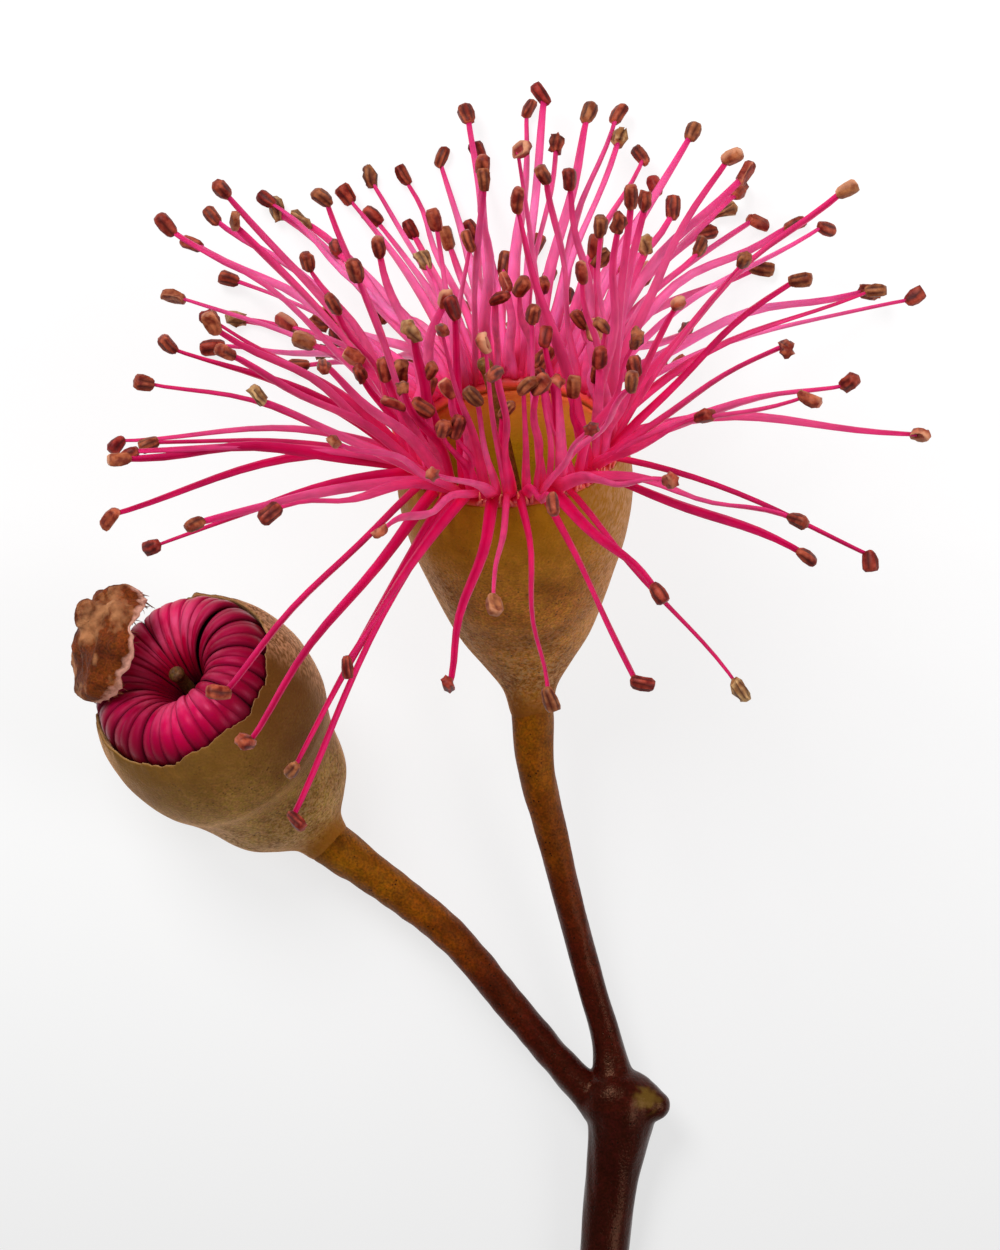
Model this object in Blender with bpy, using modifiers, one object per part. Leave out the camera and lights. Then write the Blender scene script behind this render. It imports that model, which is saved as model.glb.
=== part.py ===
"""Pink flowering gum: one open flower and one opening bud on their forked twig, laid on a table.

Lengths are in millimetres until an object is made, which turns them into metres. Pieces that grow
from one another stand 0.2 to 0.4 mm apart, so that each is a solid of its own.
+Z is up, and +Y runs from the stem's cut end to the flower head. The origin is on the table,
in the middle of the box round the whole piece.
"""
import math
import random

import bmesh
import bpy
from mathutils import Matrix, Quaternion, Vector

MM = 0.001
SIDES = 32                     # round the cups and the ring

# Places and leans. The flower's rim is the middle of the plan.
HEAD_PLACE = (0.55, 14.2)      # rim's middle over the table, from the origin
RIM_HEIGHT = 13.0              # rim's middle above the table
HEAD_LEAN = math.radians(35)   # the cup's axis over the table
HEAD_TURN = math.radians(4.5)  # and to the left of +Y
BUD_OFFSET = (-16.5, -12.0)    # bud's mouth from the flower's rim, seen from above
BUD_HEIGHT = 9.4
BUD_LEAN = math.radians(45)
BUD_TURN = math.radians(41.3)

# Flower cup, heights below the rim
RIM_RADIUS = 5.85
CUP_OUTSIDE = [(5.8, -0.3), (5.9, -2.0), (5.8, -3.8), (5.4, -5.6), (4.9, -7.2), (4.2, -9.3),
               (3.35, -11.3), (2.3, -13.0), (1.4, -14.4), (1.1, -15.6)]
CUP_INSIDE = [(0.0, -6.4), (2.2, -6.3), (3.6, -5.4), (4.4, -3.6), (4.75, -1.6), (4.9, -0.3)]
CUP_BEND_FROM = -8.0
CUP_BEND = math.radians(25)
STYLE = [(0.0, 4.6), (0.35, 4.5), (0.4, 4.1), (0.27, 3.7), (0.3, 1.0), (0.42, -2.5), (0.7, -4.4),
         (1.6, -5.3), (2.0, -5.9), (1.9, -6.0), (0.0, -6.0)]
STYLE_SWAY = (0.9, -0.6)       # how far its top leans aside and towards the table

# Stamens
RING_INNER = 4.85
RING_TOP = 0.75
ROOT_HEIGHT = 0.35
ROOT_RADIUS = 5.3
FILAMENT_ROOT = 0.30           # corner radius of the three-sided filament at its root
FILAMENT_TIP = 0.19
OUTER_POINTS = 4               # along each filament
INNER_POINTS = 3
ANTHER_LENGTH = 1.15
ANTHER_WIDTH = 0.68
STAMEN_LENGTH = 16.0
LENGTH_SPREAD = 1.6
LENGTH_STEP = 0.4
SPREADS = range(-20, 119)      # degrees from the cup's axis that a stamen may stand at
OUTER_SPREADS = (76, 42)       # wanted of the outer stamens in turn
INNER_LENGTHS = (5.5, 7.0, 8.5, 9.5, 11.0, 12.5, 14.0, 15.5)
FAR_SIDE_PULL = 1.1            # nearer to 1, more inner stamens root on the far side
INNER_ROOT = 5.15
ARCH = 0.35                    # how much more upright than straight a filament sets out
NEAR_ARCH = 0.07               # the same on the ring's near side
ARCH_END = 0.6                 # how much of that it leans back by at its tip
HANDLES = (0.35, 0.3)          # of its length, those of the curve at its root and its tip
WAVE = 0.3                     # how far a filament strays from its arch
ANTHER_TILT = 0.7
FLOOR_HEIGHT = 0.36            # an anther that lies on the table has its middle this high
FLOOR_SOFT = 1.4
SEED = 11

# Tips of the stamens from the middle of the rim, seen from above: those that reach furthest,
# then those that stand in front of or behind the cup's mouth
OUTER_TIPS = [
    (-2.2, 16.8), (0.8, 17.2), (1.7, 17.8), (3.9, 16.8), (5.4, 16.8), (5.5, 15.6), (6.8, 14.8),
    (-3.7, 14.8), (-5.5, 13.8), (-7.3, 13.8), (-8.4, 12.8), (-7.1, 11.7), (9.2, 15.8), (11.0, 14.1),
    (11.9, 13.7), (11.7, 13.0), (10.8, 12.1), (12.5, 11.7), (14.4, 11.3), (16.7, 11.9), (15.9, 11.1),
    (11.5, 8.8), (12.8, 9.1), (14.1, 8.0), (18.2, 7.9), (18.2, 7.2), (20.4, 7.3), (13.5, 4.6),
    (16.7, 2.9), (14.5, 2.2), (20.5, 0.3), (13.9, -3.9), (14.5, -5.6), (18.0, -5.8), (11.2, -12.3),
    (6.2, -12.1), (1.8, -12.6), (-3.1, -12.4), (-0.9, -8.1), (7.1, -7.5), (7.7, -1.9), (2.0, -3.1),
    (4.0, 0.5), (-3.8, -1.8), (-6.4, -4.4), (-8.2, -11.0), (-10.8, -16.4), (-10.9, -18.8),
    (-13.1, -15.2), (-14.4, -12.8), (-17.8, -5.2), (-15.5, -4.0), (-11.7, -3.6), (-20.1, -3.7),
    (-19.3, -1.0), (-19.7, 0.3), (-18.9, -0.3), (-17.9, 0.1), (-18.1, 3.1), (-17.0, 5.0),
    (-17.0, 7.5), (-17.3, 10.7), (-16.1, 10.2), (-14.4, 12.4), (-15.1, 11.4), (-13.9, 10.6),
    (-12.4, 12.5), (-12.1, 12.1), (-10.7, 11.6), (-9.2, 11.4), (-14.3, 8.6), (-14.9, 6.3),
    (-14.0, 6.6), (-14.8, 5.7), (-15.2, 5.2), (-14.0, 4.5), (-12.4, 2.1), (-8.7, 0.0),
]
INNER_TIPS = [
    (-1.6, 15.0), (-1.4, 13.5), (-1.3, 12.6), (0.3, 14.4), (0.2, 11.8), (1.7, 13.0), (2.3, 15.3),
    (2.9, 12.5), (5.9, 12.3), (6.7, 11.8), (7.5, 13.0), (8.3, 11.8), (9.8, 10.9), (9.6, 9.8),
    (-10.2, 8.7), (-9.0, 9.9), (-6.6, 9.6), (-7.7, 8.5), (-8.8, 7.0), (-9.0, 6.3), (-8.9, 5.2),
    (-9.4, 4.8), (-9.8, 6.2), (-11.4, 6.0), (-10.4, 5.1), (-10.8, 4.1), (-9.3, 3.8), (-5.1, 11.0),
    (-3.8, 11.0), (-3.3, 10.5), (-4.4, 9.2), (-3.8, 7.9), (-6.7, 6.7), (-5.8, 6.7), (-4.8, 5.4),
    (-3.5, 5.6), (-3.2, 6.9), (-2.5, 7.1), (-2.8, 6.5), (-1.9, 10.8), (-2.0, 9.7), (-0.8, 7.2),
    (1.2, 10.3), (-0.4, 9.0), (-0.2, 8.0), (0.4, 7.7), (1.9, 8.7), (1.7, 7.9), (0.0, 6.2),
    (1.0, 6.1), (-0.2, 5.5), (1.6, 5.1), (2.8, 7.4), (3.6, 7.1), (3.5, 8.3), (4.3, 9.0),
    (4.5, 10.3), (5.3, 10.9), (5.5, 9.0), (5.9, 7.7), (6.1, 6.2), (4.7, 5.8), (2.8, 6.1),
    (3.0, 5.4), (3.6, 6.0), (4.2, 9.6), (6.9, 9.8), (7.0, 8.7), (8.3, 7.1), (9.0, 5.8),
    (6.2, 4.8), (4.2, 5.2), (-7.7, 4.2), (-6.6, 4.5), (-7.5, 3.3), (-6.3, 3.5), (-5.5, 3.8),
    (-6.5, 2.6), (-5.6, 1.9), (-5.4, 2.7), (-5.0, 3.4), (-5.0, 4.4), (-4.1, 3.5), (-4.1, 2.6),
    (-3.0, 2.5), (-2.5, 3.5), (-2.0, 4.8), (-1.3, 4.5), (-1.9, 4.0), (-1.7, 2.0), (-0.7, 3.4),
    (-4.2, 1.7), (-3.4, 0.4), (-2.8, 0.5), (-0.4, 1.5), (0.6, 2.7), (1.3, 2.7), (1.4, 4.1),
    (2.3, 4.2), (1.6, 3.0), (2.3, 3.1), (3.3, 4.1), (4.4, 4.1), (3.1, 2.6), (4.2, 3.4),
    (6.2, 3.6), (5.9, 2.5), (7.7, 4.2), (8.6, 3.9), (9.5, 1.2),
]

# Bud, heights below its rim
BUD_OUTSIDE = [(5.2, 0.0), (5.55, -1.4), (5.7, -3.0), (5.45, -5.0), (4.7, -7.0), (4.15, -8.6),
               (3.75, -9.9), (3.25, -10.9), (2.4, -11.8), (1.6, -12.5), (1.3, -13.3)]
BUD_INSIDE = [(0.0, -3.7), (3.6, -3.7), (4.6, -2.5), (4.85, -1.0), (4.8, 0.0)]
BUD_BEND_FROM = -5.0
BUD_BEND = math.radians(40)
DOME = [(0.0, -2.2), (0.5, -2.0), (0.95, -0.9), (1.5, 0.3), (2.3, 1.0), (3.2, 1.2), (4.0, 0.85),
        (4.45, 0.1), (4.4, -1.0), (3.5, -3.3), (0.0, -3.3)]
RIBS = 38
RIB_HEIGHT = 0.26
RIB_DEPTH = -1.5               # the furrows end this far down the pit and the side
RIB_INNER = 0.8
BUD_STYLE = [(0.0, 0.9), (0.3, 0.82), (0.42, 0.55), (0.3, 0.2), (0.2, -1.85), (0.0, -1.85)]
BUD_TEAR = [(0.18, 5, 1), (0.12, 13, 0)]   # waves of the torn edge: height, number and start

# Cap that the bud is shedding, tipped off over the edge of the bud's mouth
CAP_PLACE = (-19.9, -10.25)   # middle of its open side from the flower's rim
CAP_HEIGHT = 9.0
CAP_LEAN = math.radians(20)
CAP_TURN = math.radians(70)
CAP_INSIDE = [(0.0, 1.3), (1.4, 0.95), (2.6, 0.0)]
CAP_OUTSIDE = [(3.2, 0.0), (3.0, 0.7), (2.2, 1.35), (1.2, 1.75), (0.6, 2.0), (0.4, 2.35), (0.0, 2.4)]
CAP_TEAR = [(0.25, 3, 2), (0.15, 7, 0)]

# Twig: points from the middle of the flower's rim, height above the table, thickness across
PEDUNCLE = [((4.35, -46.6, 1.21), 2.5), ((4.6, -43.0, 1.25), 2.5), ((4.85, -40.0, 1.35), 2.55),
            ((5.15, -37.2, 1.6), 2.75), ((5.45, -35.4, 1.9), 3.1), ((5.6, -34.0, 2.1), 3.5),
            ((5.6, -33.0, 2.2), 3.2)]
FLOWER_PEDICEL = [((5.4, -33.4, 2.2), 2.5), ((5.15, -31.8, 2.2), 2.0), ((4.85, -30.2, 2.25), 1.55),
                  ((3.95, -27.0, 2.5), 1.45), ((2.9, -23.1, 3.1), 1.5), ((2.0, -19.5, 4.1), 1.65),
                  ((1.25, -16.3, 5.0), 1.9), ((1.1, -13.92, 5.45), 2.15)]
BUD_PEDICEL = [((5.0, -33.9, 2.2), 2.3), ((3.1, -32.1, 2.1), 1.75), ((0.3, -28.85, 2.0), 1.65),
               ((-3.05, -24.95, 2.0), 1.75), ((-6.8, -22.05, 2.2), 2.0), ((-8.93, -20.58, 2.4), 2.4)]
KNUCKLE_PLACE = (5.5, -33.4, 2.2)
KNUCKLE_RADIUS = 1.95
KNUCKLE_STRETCH = (1.05, 0.9, 0.85)
SCAR_PLACE = (7.0, -33.55, 2.6)
SCAR_RADIUS = 0.9
SCAR_STRETCH = (1.25, 1.0, 0.9)


def frame(offset, height, lean, turn):
    """A cup's own axes: +X to its left, +Y up from the table and +Z along its axis."""
    flat = Vector((-math.sin(turn), math.cos(turn), 0))
    axis = flat * math.cos(lean) + Vector((0, 0, math.sin(lean)))
    left = Vector((-math.cos(turn), -math.sin(turn), 0))
    matrix = Matrix((left, axis.cross(left), axis)).transposed().to_4x4()
    matrix.translation = (HEAD_PLACE[0] + offset[0], HEAD_PLACE[1] + offset[1], height)
    return matrix


HEAD = frame((0, 0), RIM_HEIGHT, HEAD_LEAN, HEAD_TURN)
BUD = frame(BUD_OFFSET, BUD_HEIGHT, BUD_LEAN, BUD_TURN)
CAP = frame(CAP_PLACE, CAP_HEIGHT, CAP_LEAN, CAP_TURN)


def in_plan(point):
    """A point given from the middle of the flower's rim, in the piece's own frame."""
    return Vector((point[0] + HEAD_PLACE[0], point[1] + HEAD_PLACE[1], point[2]))


def clear_scene():
    for item in list(bpy.data.objects):
        bpy.data.objects.remove(item, do_unlink=True)


def new_collection(name):
    collection = bpy.data.collections.new(name)
    bpy.context.scene.collection.children.link(collection)
    return collection


def add_mesh(shape, name, collection):
    """A bmesh in millimetres as an object in metres."""
    bmesh.ops.scale(shape, vec=(MM, MM, MM), verts=shape.verts)
    mesh = bpy.data.meshes.new(name)
    shape.to_mesh(mesh)
    shape.free()
    item = bpy.data.objects.new(name, mesh)
    collection.objects.link(item)
    return item


def paint(item, colour, roughness):
    material = bpy.data.materials.new(item.name)
    material.use_nodes = True
    surface = material.node_tree.nodes["Principled BSDF"]
    surface.inputs["Base Color"].default_value = (*colour, 1)
    surface.inputs["Roughness"].default_value = roughness
    surface.inputs["Metallic"].default_value = 0
    item.data.materials.clear()
    item.data.materials.append(material)


def evaluated_shape(item):
    """The finished mesh of a curve or of a mesh with modifiers, as a welded bmesh in millimetres."""
    bpy.context.view_layer.update()
    graph = bpy.context.evaluated_depsgraph_get()
    mesh = bpy.data.meshes.new_from_object(item.evaluated_get(graph))
    shape = bmesh.new()
    shape.from_mesh(mesh)
    bpy.data.meshes.remove(mesh)
    bpy.data.objects.remove(item, do_unlink=True)
    bmesh.ops.remove_doubles(shape, verts=shape.verts, dist=1e-4)
    bmesh.ops.recalc_face_normals(shape, faces=shape.faces)
    return shape


def turned(profile, sides=SIDES):
    """A profile of (radius, height) turned round +Z."""
    outline = bmesh.new()
    points = [outline.verts.new((radius, 0, height)) for radius, height in profile]
    for first, second in zip(points, points[1:]):
        outline.edges.new((first, second))
    mesh = bpy.data.meshes.new("profile")
    outline.to_mesh(mesh)
    outline.free()
    item = bpy.data.objects.new("profile", mesh)
    bpy.context.scene.collection.objects.link(item)
    screw = item.modifiers.new("turn", "SCREW")
    screw.steps = sides
    screw.render_steps = sides
    screw.use_merge_vertices = True
    screw.merge_threshold = 0.0001
    return evaluated_shape(item)


def bend(shape, start, angle, length):
    """Curve the part below a height towards +Y, evenly, up to an angle."""
    rate = angle / length
    for vert in shape.verts:
        run = start - vert.co.z
        if run > 0:
            turn = rate * run
            across = vert.co.y
            vert.co.z = start - math.sin(turn) / rate + across * math.sin(turn)
            vert.co.y = (1 - math.cos(turn)) / rate + across * math.cos(turn)


def rest_flat(shape):
    """Cut a small flat where the shape would dip into the table."""
    geometry = shape.verts[:] + shape.edges[:] + shape.faces[:]
    cut = bmesh.ops.bisect_plane(shape, geom=geometry, plane_co=(0, 0, 0), plane_no=(0, 0, -1),
                                 clear_outer=True)
    edges = [part for part in cut["geom_cut"] if isinstance(part, bmesh.types.BMEdge)]
    bmesh.ops.edgeloop_fill(shape, edges=edges)
    bmesh.ops.recalc_face_normals(shape, faces=shape.faces)


def join_all(items, name, collection, solver="MANIFOLD"):
    """Union of several closed objects, as one object."""
    first, rest = items[0], items[1:]
    parts = bpy.data.collections.new("joined")
    bpy.context.scene.collection.children.link(parts)
    for item in rest:
        parts.objects.link(item)
    union = first.modifiers.new("union", "BOOLEAN")
    union.operation = "UNION"
    union.operand_type = "COLLECTION"
    union.collection = parts
    union.solver = solver
    bpy.context.view_layer.update()
    graph = bpy.context.evaluated_depsgraph_get()
    mesh = bpy.data.meshes.new_from_object(first.evaluated_get(graph))
    for item in items:
        bpy.data.objects.remove(item, do_unlink=True)
    bpy.data.collections.remove(parts)
    mesh.name = name
    fill_hollows(mesh)
    joined = bpy.data.objects.new(name, mesh)
    collection.objects.link(joined)
    return joined


def fill_hollows(mesh):
    """Keep the outer skin alone: pockets that the union has sealed are filled."""
    shape = bmesh.new()
    shape.from_mesh(mesh)
    left = set(shape.verts)
    skins = []
    while left:
        skin = set()
        front = [left.pop()]
        while front:
            vert = front.pop()
            skin.add(vert)
            near = {edge.other_vert(vert) for edge in vert.link_edges} & left
            left -= near
            front.extend(near)
        skins.append(skin)
    outer = max(skins, key=len)
    inner = [vert for skin in skins if skin is not outer for vert in skin]
    bmesh.ops.delete(shape, geom=inner, context="VERTS")
    shape.to_mesh(mesh)
    shape.free()


def tube(points, thicknesses, profile, name, collection):
    """A tube along the points, its section set by a profile curve of unit radius."""
    curve = bpy.data.curves.new(name, "CURVE")
    curve.dimensions = "3D"
    curve.bevel_mode = "OBJECT"
    curve.bevel_object = profile
    curve.use_fill_caps = True
    spline = curve.splines.new("POLY")
    spline.points.add(len(points) - 1)
    for spot, place, thickness in zip(spline.points, points, thicknesses):
        spot.co = (*place, 1)
        spot.radius = thickness / 2
    item = bpy.data.objects.new(name, curve)
    bpy.context.scene.collection.objects.link(item)
    return add_mesh(evaluated_shape(item), name, collection)


def round_profile(sides):
    """A closed many-sided outline of unit radius, for tube."""
    curve = bpy.data.curves.new("section", "CURVE")
    curve.dimensions = "2D"
    spline = curve.splines.new("POLY")
    spline.points.add(sides - 1)
    spline.use_cyclic_u = True
    for index, spot in enumerate(spline.points):
        angle = math.tau * index / sides
        spot.co = (math.cos(angle), math.sin(angle), 0, 1)
    item = bpy.data.objects.new("section", curve)
    bpy.context.scene.collection.objects.link(item)
    return item


def smooth_route(stations, steps):
    """Points and thicknesses read from a smooth curve through the stations."""
    places = [in_plan(place) for place, thickness in stations]
    widths = [thickness for place, thickness in stations]
    places = [places[0] * 2 - places[1]] + places + [places[-1] * 2 - places[-2]]
    widths = [widths[0]] + widths + [widths[-1]]
    route, thicknesses = [], []
    for index in range(1, len(places) - 2):
        for step in range(steps):
            t = step / steps
            route.append(catmull(places[index - 1:index + 3], t))
            thicknesses.append(catmull(widths[index - 1:index + 3], t))
    route.append(places[-2])
    thicknesses.append(widths[-2])
    return route, thicknesses


def catmull(values, t):
    before, start, end, after = values
    return (start * 2 + (end - before) * t + (before * 2 - start * 5 + end * 4 - after) * t ** 2
            + (start * 3 - before - end * 3 + after) * t ** 3) * 0.5


def ball(place, radius, stretch, name, collection):
    shape = bmesh.new()
    bmesh.ops.create_uvsphere(shape, u_segments=12, v_segments=8, radius=radius)
    bmesh.ops.scale(shape, vec=stretch, verts=shape.verts)
    bmesh.ops.translate(shape, vec=in_plan(place), verts=shape.verts)
    return add_mesh(shape, name, collection)


def make_twig(collection):
    """Peduncle, the two pedicels and the scar of a lost third bud, grown as one piece."""
    section = round_profile(10)
    tubes = []
    for stations in (PEDUNCLE, FLOWER_PEDICEL, BUD_PEDICEL):
        route, thicknesses = smooth_route(stations, 3)
        tubes.append(tube(route, thicknesses, section, "tube", collection))
    bpy.data.objects.remove(section, do_unlink=True)
    tubes.append(ball(SCAR_PLACE, SCAR_RADIUS, SCAR_STRETCH, "scar", collection))
    tubes.append(ball(KNUCKLE_PLACE, KNUCKLE_RADIUS, KNUCKLE_STRETCH, "knuckle", collection))
    twig = join_all(tubes, "twig", collection)
    paint(twig, (0.13, 0.03, 0.015), 0.4)


def make_flower_cup(collection):
    """The woody hollow cup, bent at its foot to meet the pedicel."""
    shape = turned(CUP_INSIDE + CUP_OUTSIDE + [(0.0, CUP_OUTSIDE[-1][1])])
    bend(shape, CUP_BEND_FROM, CUP_BEND, CUP_BEND_FROM - CUP_OUTSIDE[-1][1])
    bmesh.ops.transform(shape, matrix=HEAD, verts=shape.verts)
    cup = add_mesh(shape, "flower_cup", collection)
    paint(cup, (0.21, 0.09, 0.02), 0.5)


def make_flower_style(collection):
    """The roof of the ovary on the cup's floor, and the style that stands in its middle."""
    shape = turned(STYLE, 10)
    foot, top = STYLE[-1][1], STYLE[0][1]
    for vert in shape.verts:
        lean = ((vert.co.z - foot) / (top - foot)) ** 2
        vert.co.x += STYLE_SWAY[0] * lean
        vert.co.y += STYLE_SWAY[1] * lean
    bmesh.ops.transform(shape, matrix=HEAD, verts=shape.verts)
    style = add_mesh(shape, "flower_style", collection)
    paint(style, (0.42, 0.40, 0.10), 0.45)


def aims(tip, length):
    """Each angle round the ring and spread that bring a stamen's tip over a plan point."""
    x = -tip[0] * math.cos(HEAD_TURN) - tip[1] * math.sin(HEAD_TURN)
    y = tip[1] * math.cos(HEAD_TURN) - tip[0] * math.sin(HEAD_TURN)
    found = []
    for front in (1, -1):
        last = None
        for degrees in SPREADS:
            spread = math.radians(degrees)
            reach = ROOT_RADIUS + length * math.sin(spread)
            if reach <= abs(x):
                last = None
                continue
            across = front * math.sqrt(reach ** 2 - x ** 2)
            miss = length * math.cos(spread) * math.cos(HEAD_LEAN) - across * math.sin(HEAD_LEAN) - y
            if last is not None and miss * last <= 0:
                found.append((math.atan2(across, x), spread))
            last = miss
    return found


def room(around, taken):
    """How far an angle round the ring is from the nearest one already taken."""
    return min((abs(math.remainder(around - other, math.tau)) for other in taken), default=math.pi)


def stamens():
    """Every stamen as its angle round the ring, spread, length, root radius and own seed."""
    rng = random.Random(SEED)
    placed = []
    for index, tip in enumerate(OUTER_TIPS):
        length = STAMEN_LENGTH + rng.uniform(-1, 1) * LENGTH_SPREAD
        ways = aims(tip, length)
        while not ways:
            length += LENGTH_STEP
            ways = aims(tip, length)
        wanted = math.radians(OUTER_SPREADS[index % 2])
        around, spread = min(ways, key=lambda way: abs(way[1] - wanted))
        placed.append((around, spread, length, ROOT_RADIUS, rng.random()))
    taken = []
    for tip in INNER_TIPS:
        ways = [(*way, length) for length in INNER_LENGTHS for way in aims(tip, length)]
        around, spread, length = max(ways, key=lambda way: room(way[0], taken)
                                     * (FAR_SIDE_PULL - math.sin(way[0])))
        taken.append(around)
        placed.append((around, spread, length, INNER_ROOT, rng.random()))
    return placed


def above_table(height):
    """A height eased so that it never goes below that of an anther lying on the table."""
    over = height - FLOOR_HEIGHT
    if over > FLOOR_SOFT:
        return height
    if over < -FLOOR_SOFT:
        return FLOOR_HEIGHT
    return FLOOR_HEIGHT + (over + FLOOR_SOFT) ** 2 / (4 * FLOOR_SOFT)


def filament_route(stamen, count):
    """Points from a stamen's root in the ring to its tip, arched, waved and kept off the table."""
    around, spread, length, root_radius, own = stamen
    outward = Vector((math.cos(around), math.sin(around), 0))
    axis = Vector((0, 0, 1))
    straight = axis * math.cos(spread) + outward * math.sin(spread)
    root = outward * root_radius + axis * ROOT_HEIGHT
    tip = outward * ROOT_RADIUS + straight * length
    arch = ARCH + (NEAR_ARCH - ARCH) * max(0, math.sin(around))
    early = (straight + axis * arch).normalized()
    late = (straight - axis * arch * ARCH_END).normalized()
    first_handle = root + early * length * HANDLES[0]
    last_handle = tip - late * length * HANDLES[1]
    sideways = Quaternion(straight, own * math.tau) @ straight.orthogonal().normalized()
    points = []
    for step in range(count):
        t = step / (count - 1)
        place = (root * (1 - t) ** 3 + first_handle * 3 * t * (1 - t) ** 2
                 + last_handle * 3 * t ** 2 * (1 - t) + tip * t ** 3)
        wave = math.sin(t * math.tau * (0.5 + own)) * t * (1 - t) * 4
        place = HEAD @ (place + sideways * wave * WAVE)
        place.z = above_table(place.z)
        points.append(place)
    return points


def make_anther(route, own, collection):
    """A stretched ball at the end of a filament, turned a little off its line."""
    shape = bmesh.new()
    bmesh.ops.create_uvsphere(shape, u_segments=4, v_segments=3, radius=0.5)
    bmesh.ops.scale(shape, vec=(ANTHER_WIDTH, ANTHER_WIDTH, ANTHER_LENGTH), verts=shape.verts)
    line = (route[-1] - route[-2]).normalized()
    aside = Quaternion(line, own * 40) @ line.orthogonal().normalized()
    pointing = (line + aside * ANTHER_TILT).normalized()
    if route[-1].z < FLOOR_HEIGHT + 0.3:
        pointing.z = 0
    turn = pointing.to_track_quat("Z", "Y").to_matrix().to_4x4()
    bmesh.ops.transform(shape, matrix=Matrix.Translation(route[-1]) @ turn, verts=shape.verts)
    return add_mesh(shape, "anther", collection)


def make_flower_stamens(collection):
    """The ring on the cup's rim with its filaments and their anthers, all fused."""
    section = round_profile(3)
    ring = turned([(RING_INNER, 0), (RING_INNER, RING_TOP * 0.8), (5.3, RING_TOP),
                   (RIM_RADIUS, RING_TOP * 0.6), (RIM_RADIUS, 0), (RING_INNER, 0)])
    bmesh.ops.transform(ring, matrix=HEAD, verts=ring.verts)
    pieces = [add_mesh(ring, "ring", collection)]
    for index, stamen in enumerate(stamens()):
        count = OUTER_POINTS if index < len(OUTER_TIPS) else INNER_POINTS
        route = filament_route(stamen, count)
        widths = [2 * (FILAMENT_ROOT + (FILAMENT_TIP - FILAMENT_ROOT) * step / (count - 1))
                  for step in range(count)]
        pieces.append(tube(route, widths, section, "filament", collection))
        pieces.append(make_anther(route, stamen[-1], collection))
    bpy.data.objects.remove(section, do_unlink=True)
    flower = join_all(pieces, "flower_stamens", collection)
    paint(flower, (0.62, 0.02, 0.12), 0.45)


def tear(shape, waves):
    """Raise and lower the edge that lies at height 0, as if torn."""
    for vert in shape.verts:
        if abs(vert.co.z) < 0.05 and vert.co.xy.length > 1:
            around = math.atan2(vert.co.y, vert.co.x)
            vert.co.z += sum(height * math.sin(around * count + start) for height, count, start in waves)


def make_bud_cup(collection):
    """The bud's cup with its torn edge, cut flat where it lies on the table."""
    shape = turned(BUD_INSIDE + BUD_OUTSIDE + [(0.0, BUD_OUTSIDE[-1][1])])
    tear(shape, BUD_TEAR)
    bend(shape, BUD_BEND_FROM, BUD_BEND, BUD_BEND_FROM - BUD_OUTSIDE[-1][1])
    bmesh.ops.transform(shape, matrix=BUD, verts=shape.verts)
    rest_flat(shape)
    cup = add_mesh(shape, "bud_cup", collection)
    paint(cup, (0.18, 0.09, 0.03), 0.55)


def make_bud_stamens(collection):
    """The bud's stamens, still folded inwards: a ribbed dome with a pit in its middle."""
    shape = turned(DOME, RIBS * 2)
    for vert in shape.verts:
        radius = vert.co.xy.length
        furrow = round(math.atan2(vert.co.y, vert.co.x) / math.tau * RIBS * 2) % 2
        if furrow and vert.co.z > RIB_DEPTH and radius > RIB_INNER:
            depth = RIB_HEIGHT * min(1, radius / 2.5)
            outer = min(1, max(0, (radius - 3) / 1.4))
            vert.co.z -= depth * (1 - outer)
            vert.co.xy *= 1 - depth * outer / radius
    bmesh.ops.transform(shape, matrix=BUD, verts=shape.verts)
    dome = add_mesh(shape, "bud_stamens", collection)
    paint(dome, (0.45, 0.01, 0.05), 0.45)


def make_bud_style(collection):
    """The style, whose knob looks out of the pit."""
    shape = turned(BUD_STYLE, 10)
    bmesh.ops.transform(shape, matrix=BUD, verts=shape.verts)
    style = add_mesh(shape, "bud_style", collection)
    paint(style, (0.25, 0.16, 0.05), 0.5)


def make_bud_cap(collection):
    """The cap: a shallow cone with a knob, open on the side towards the bud's mouth."""
    shape = turned(CAP_INSIDE + CAP_OUTSIDE, 24)
    tear(shape, CAP_TEAR)
    bmesh.ops.transform(shape, matrix=CAP, verts=shape.verts)
    cap = add_mesh(shape, "bud_cap", collection)
    paint(cap, (0.28, 0.12, 0.05), 0.6)


def main():
    clear_scene()
    collection = new_collection("flowering_gum_flower")
    make_twig(collection)
    make_flower_cup(collection)
    make_flower_style(collection)
    make_flower_stamens(collection)
    make_bud_cup(collection)
    make_bud_stamens(collection)
    make_bud_style(collection)
    make_bud_cap(collection)


main()
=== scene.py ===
"""Pink flowering gum: an open flower and an opening bud on their forked twig, lying on a pale table.

Shapes are worked out in millimetres and turned into metres as each piece is finished.
"""
import math
import random

import bmesh
import bpy
from mathutils import Matrix, Quaternion, Vector, noise


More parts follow.
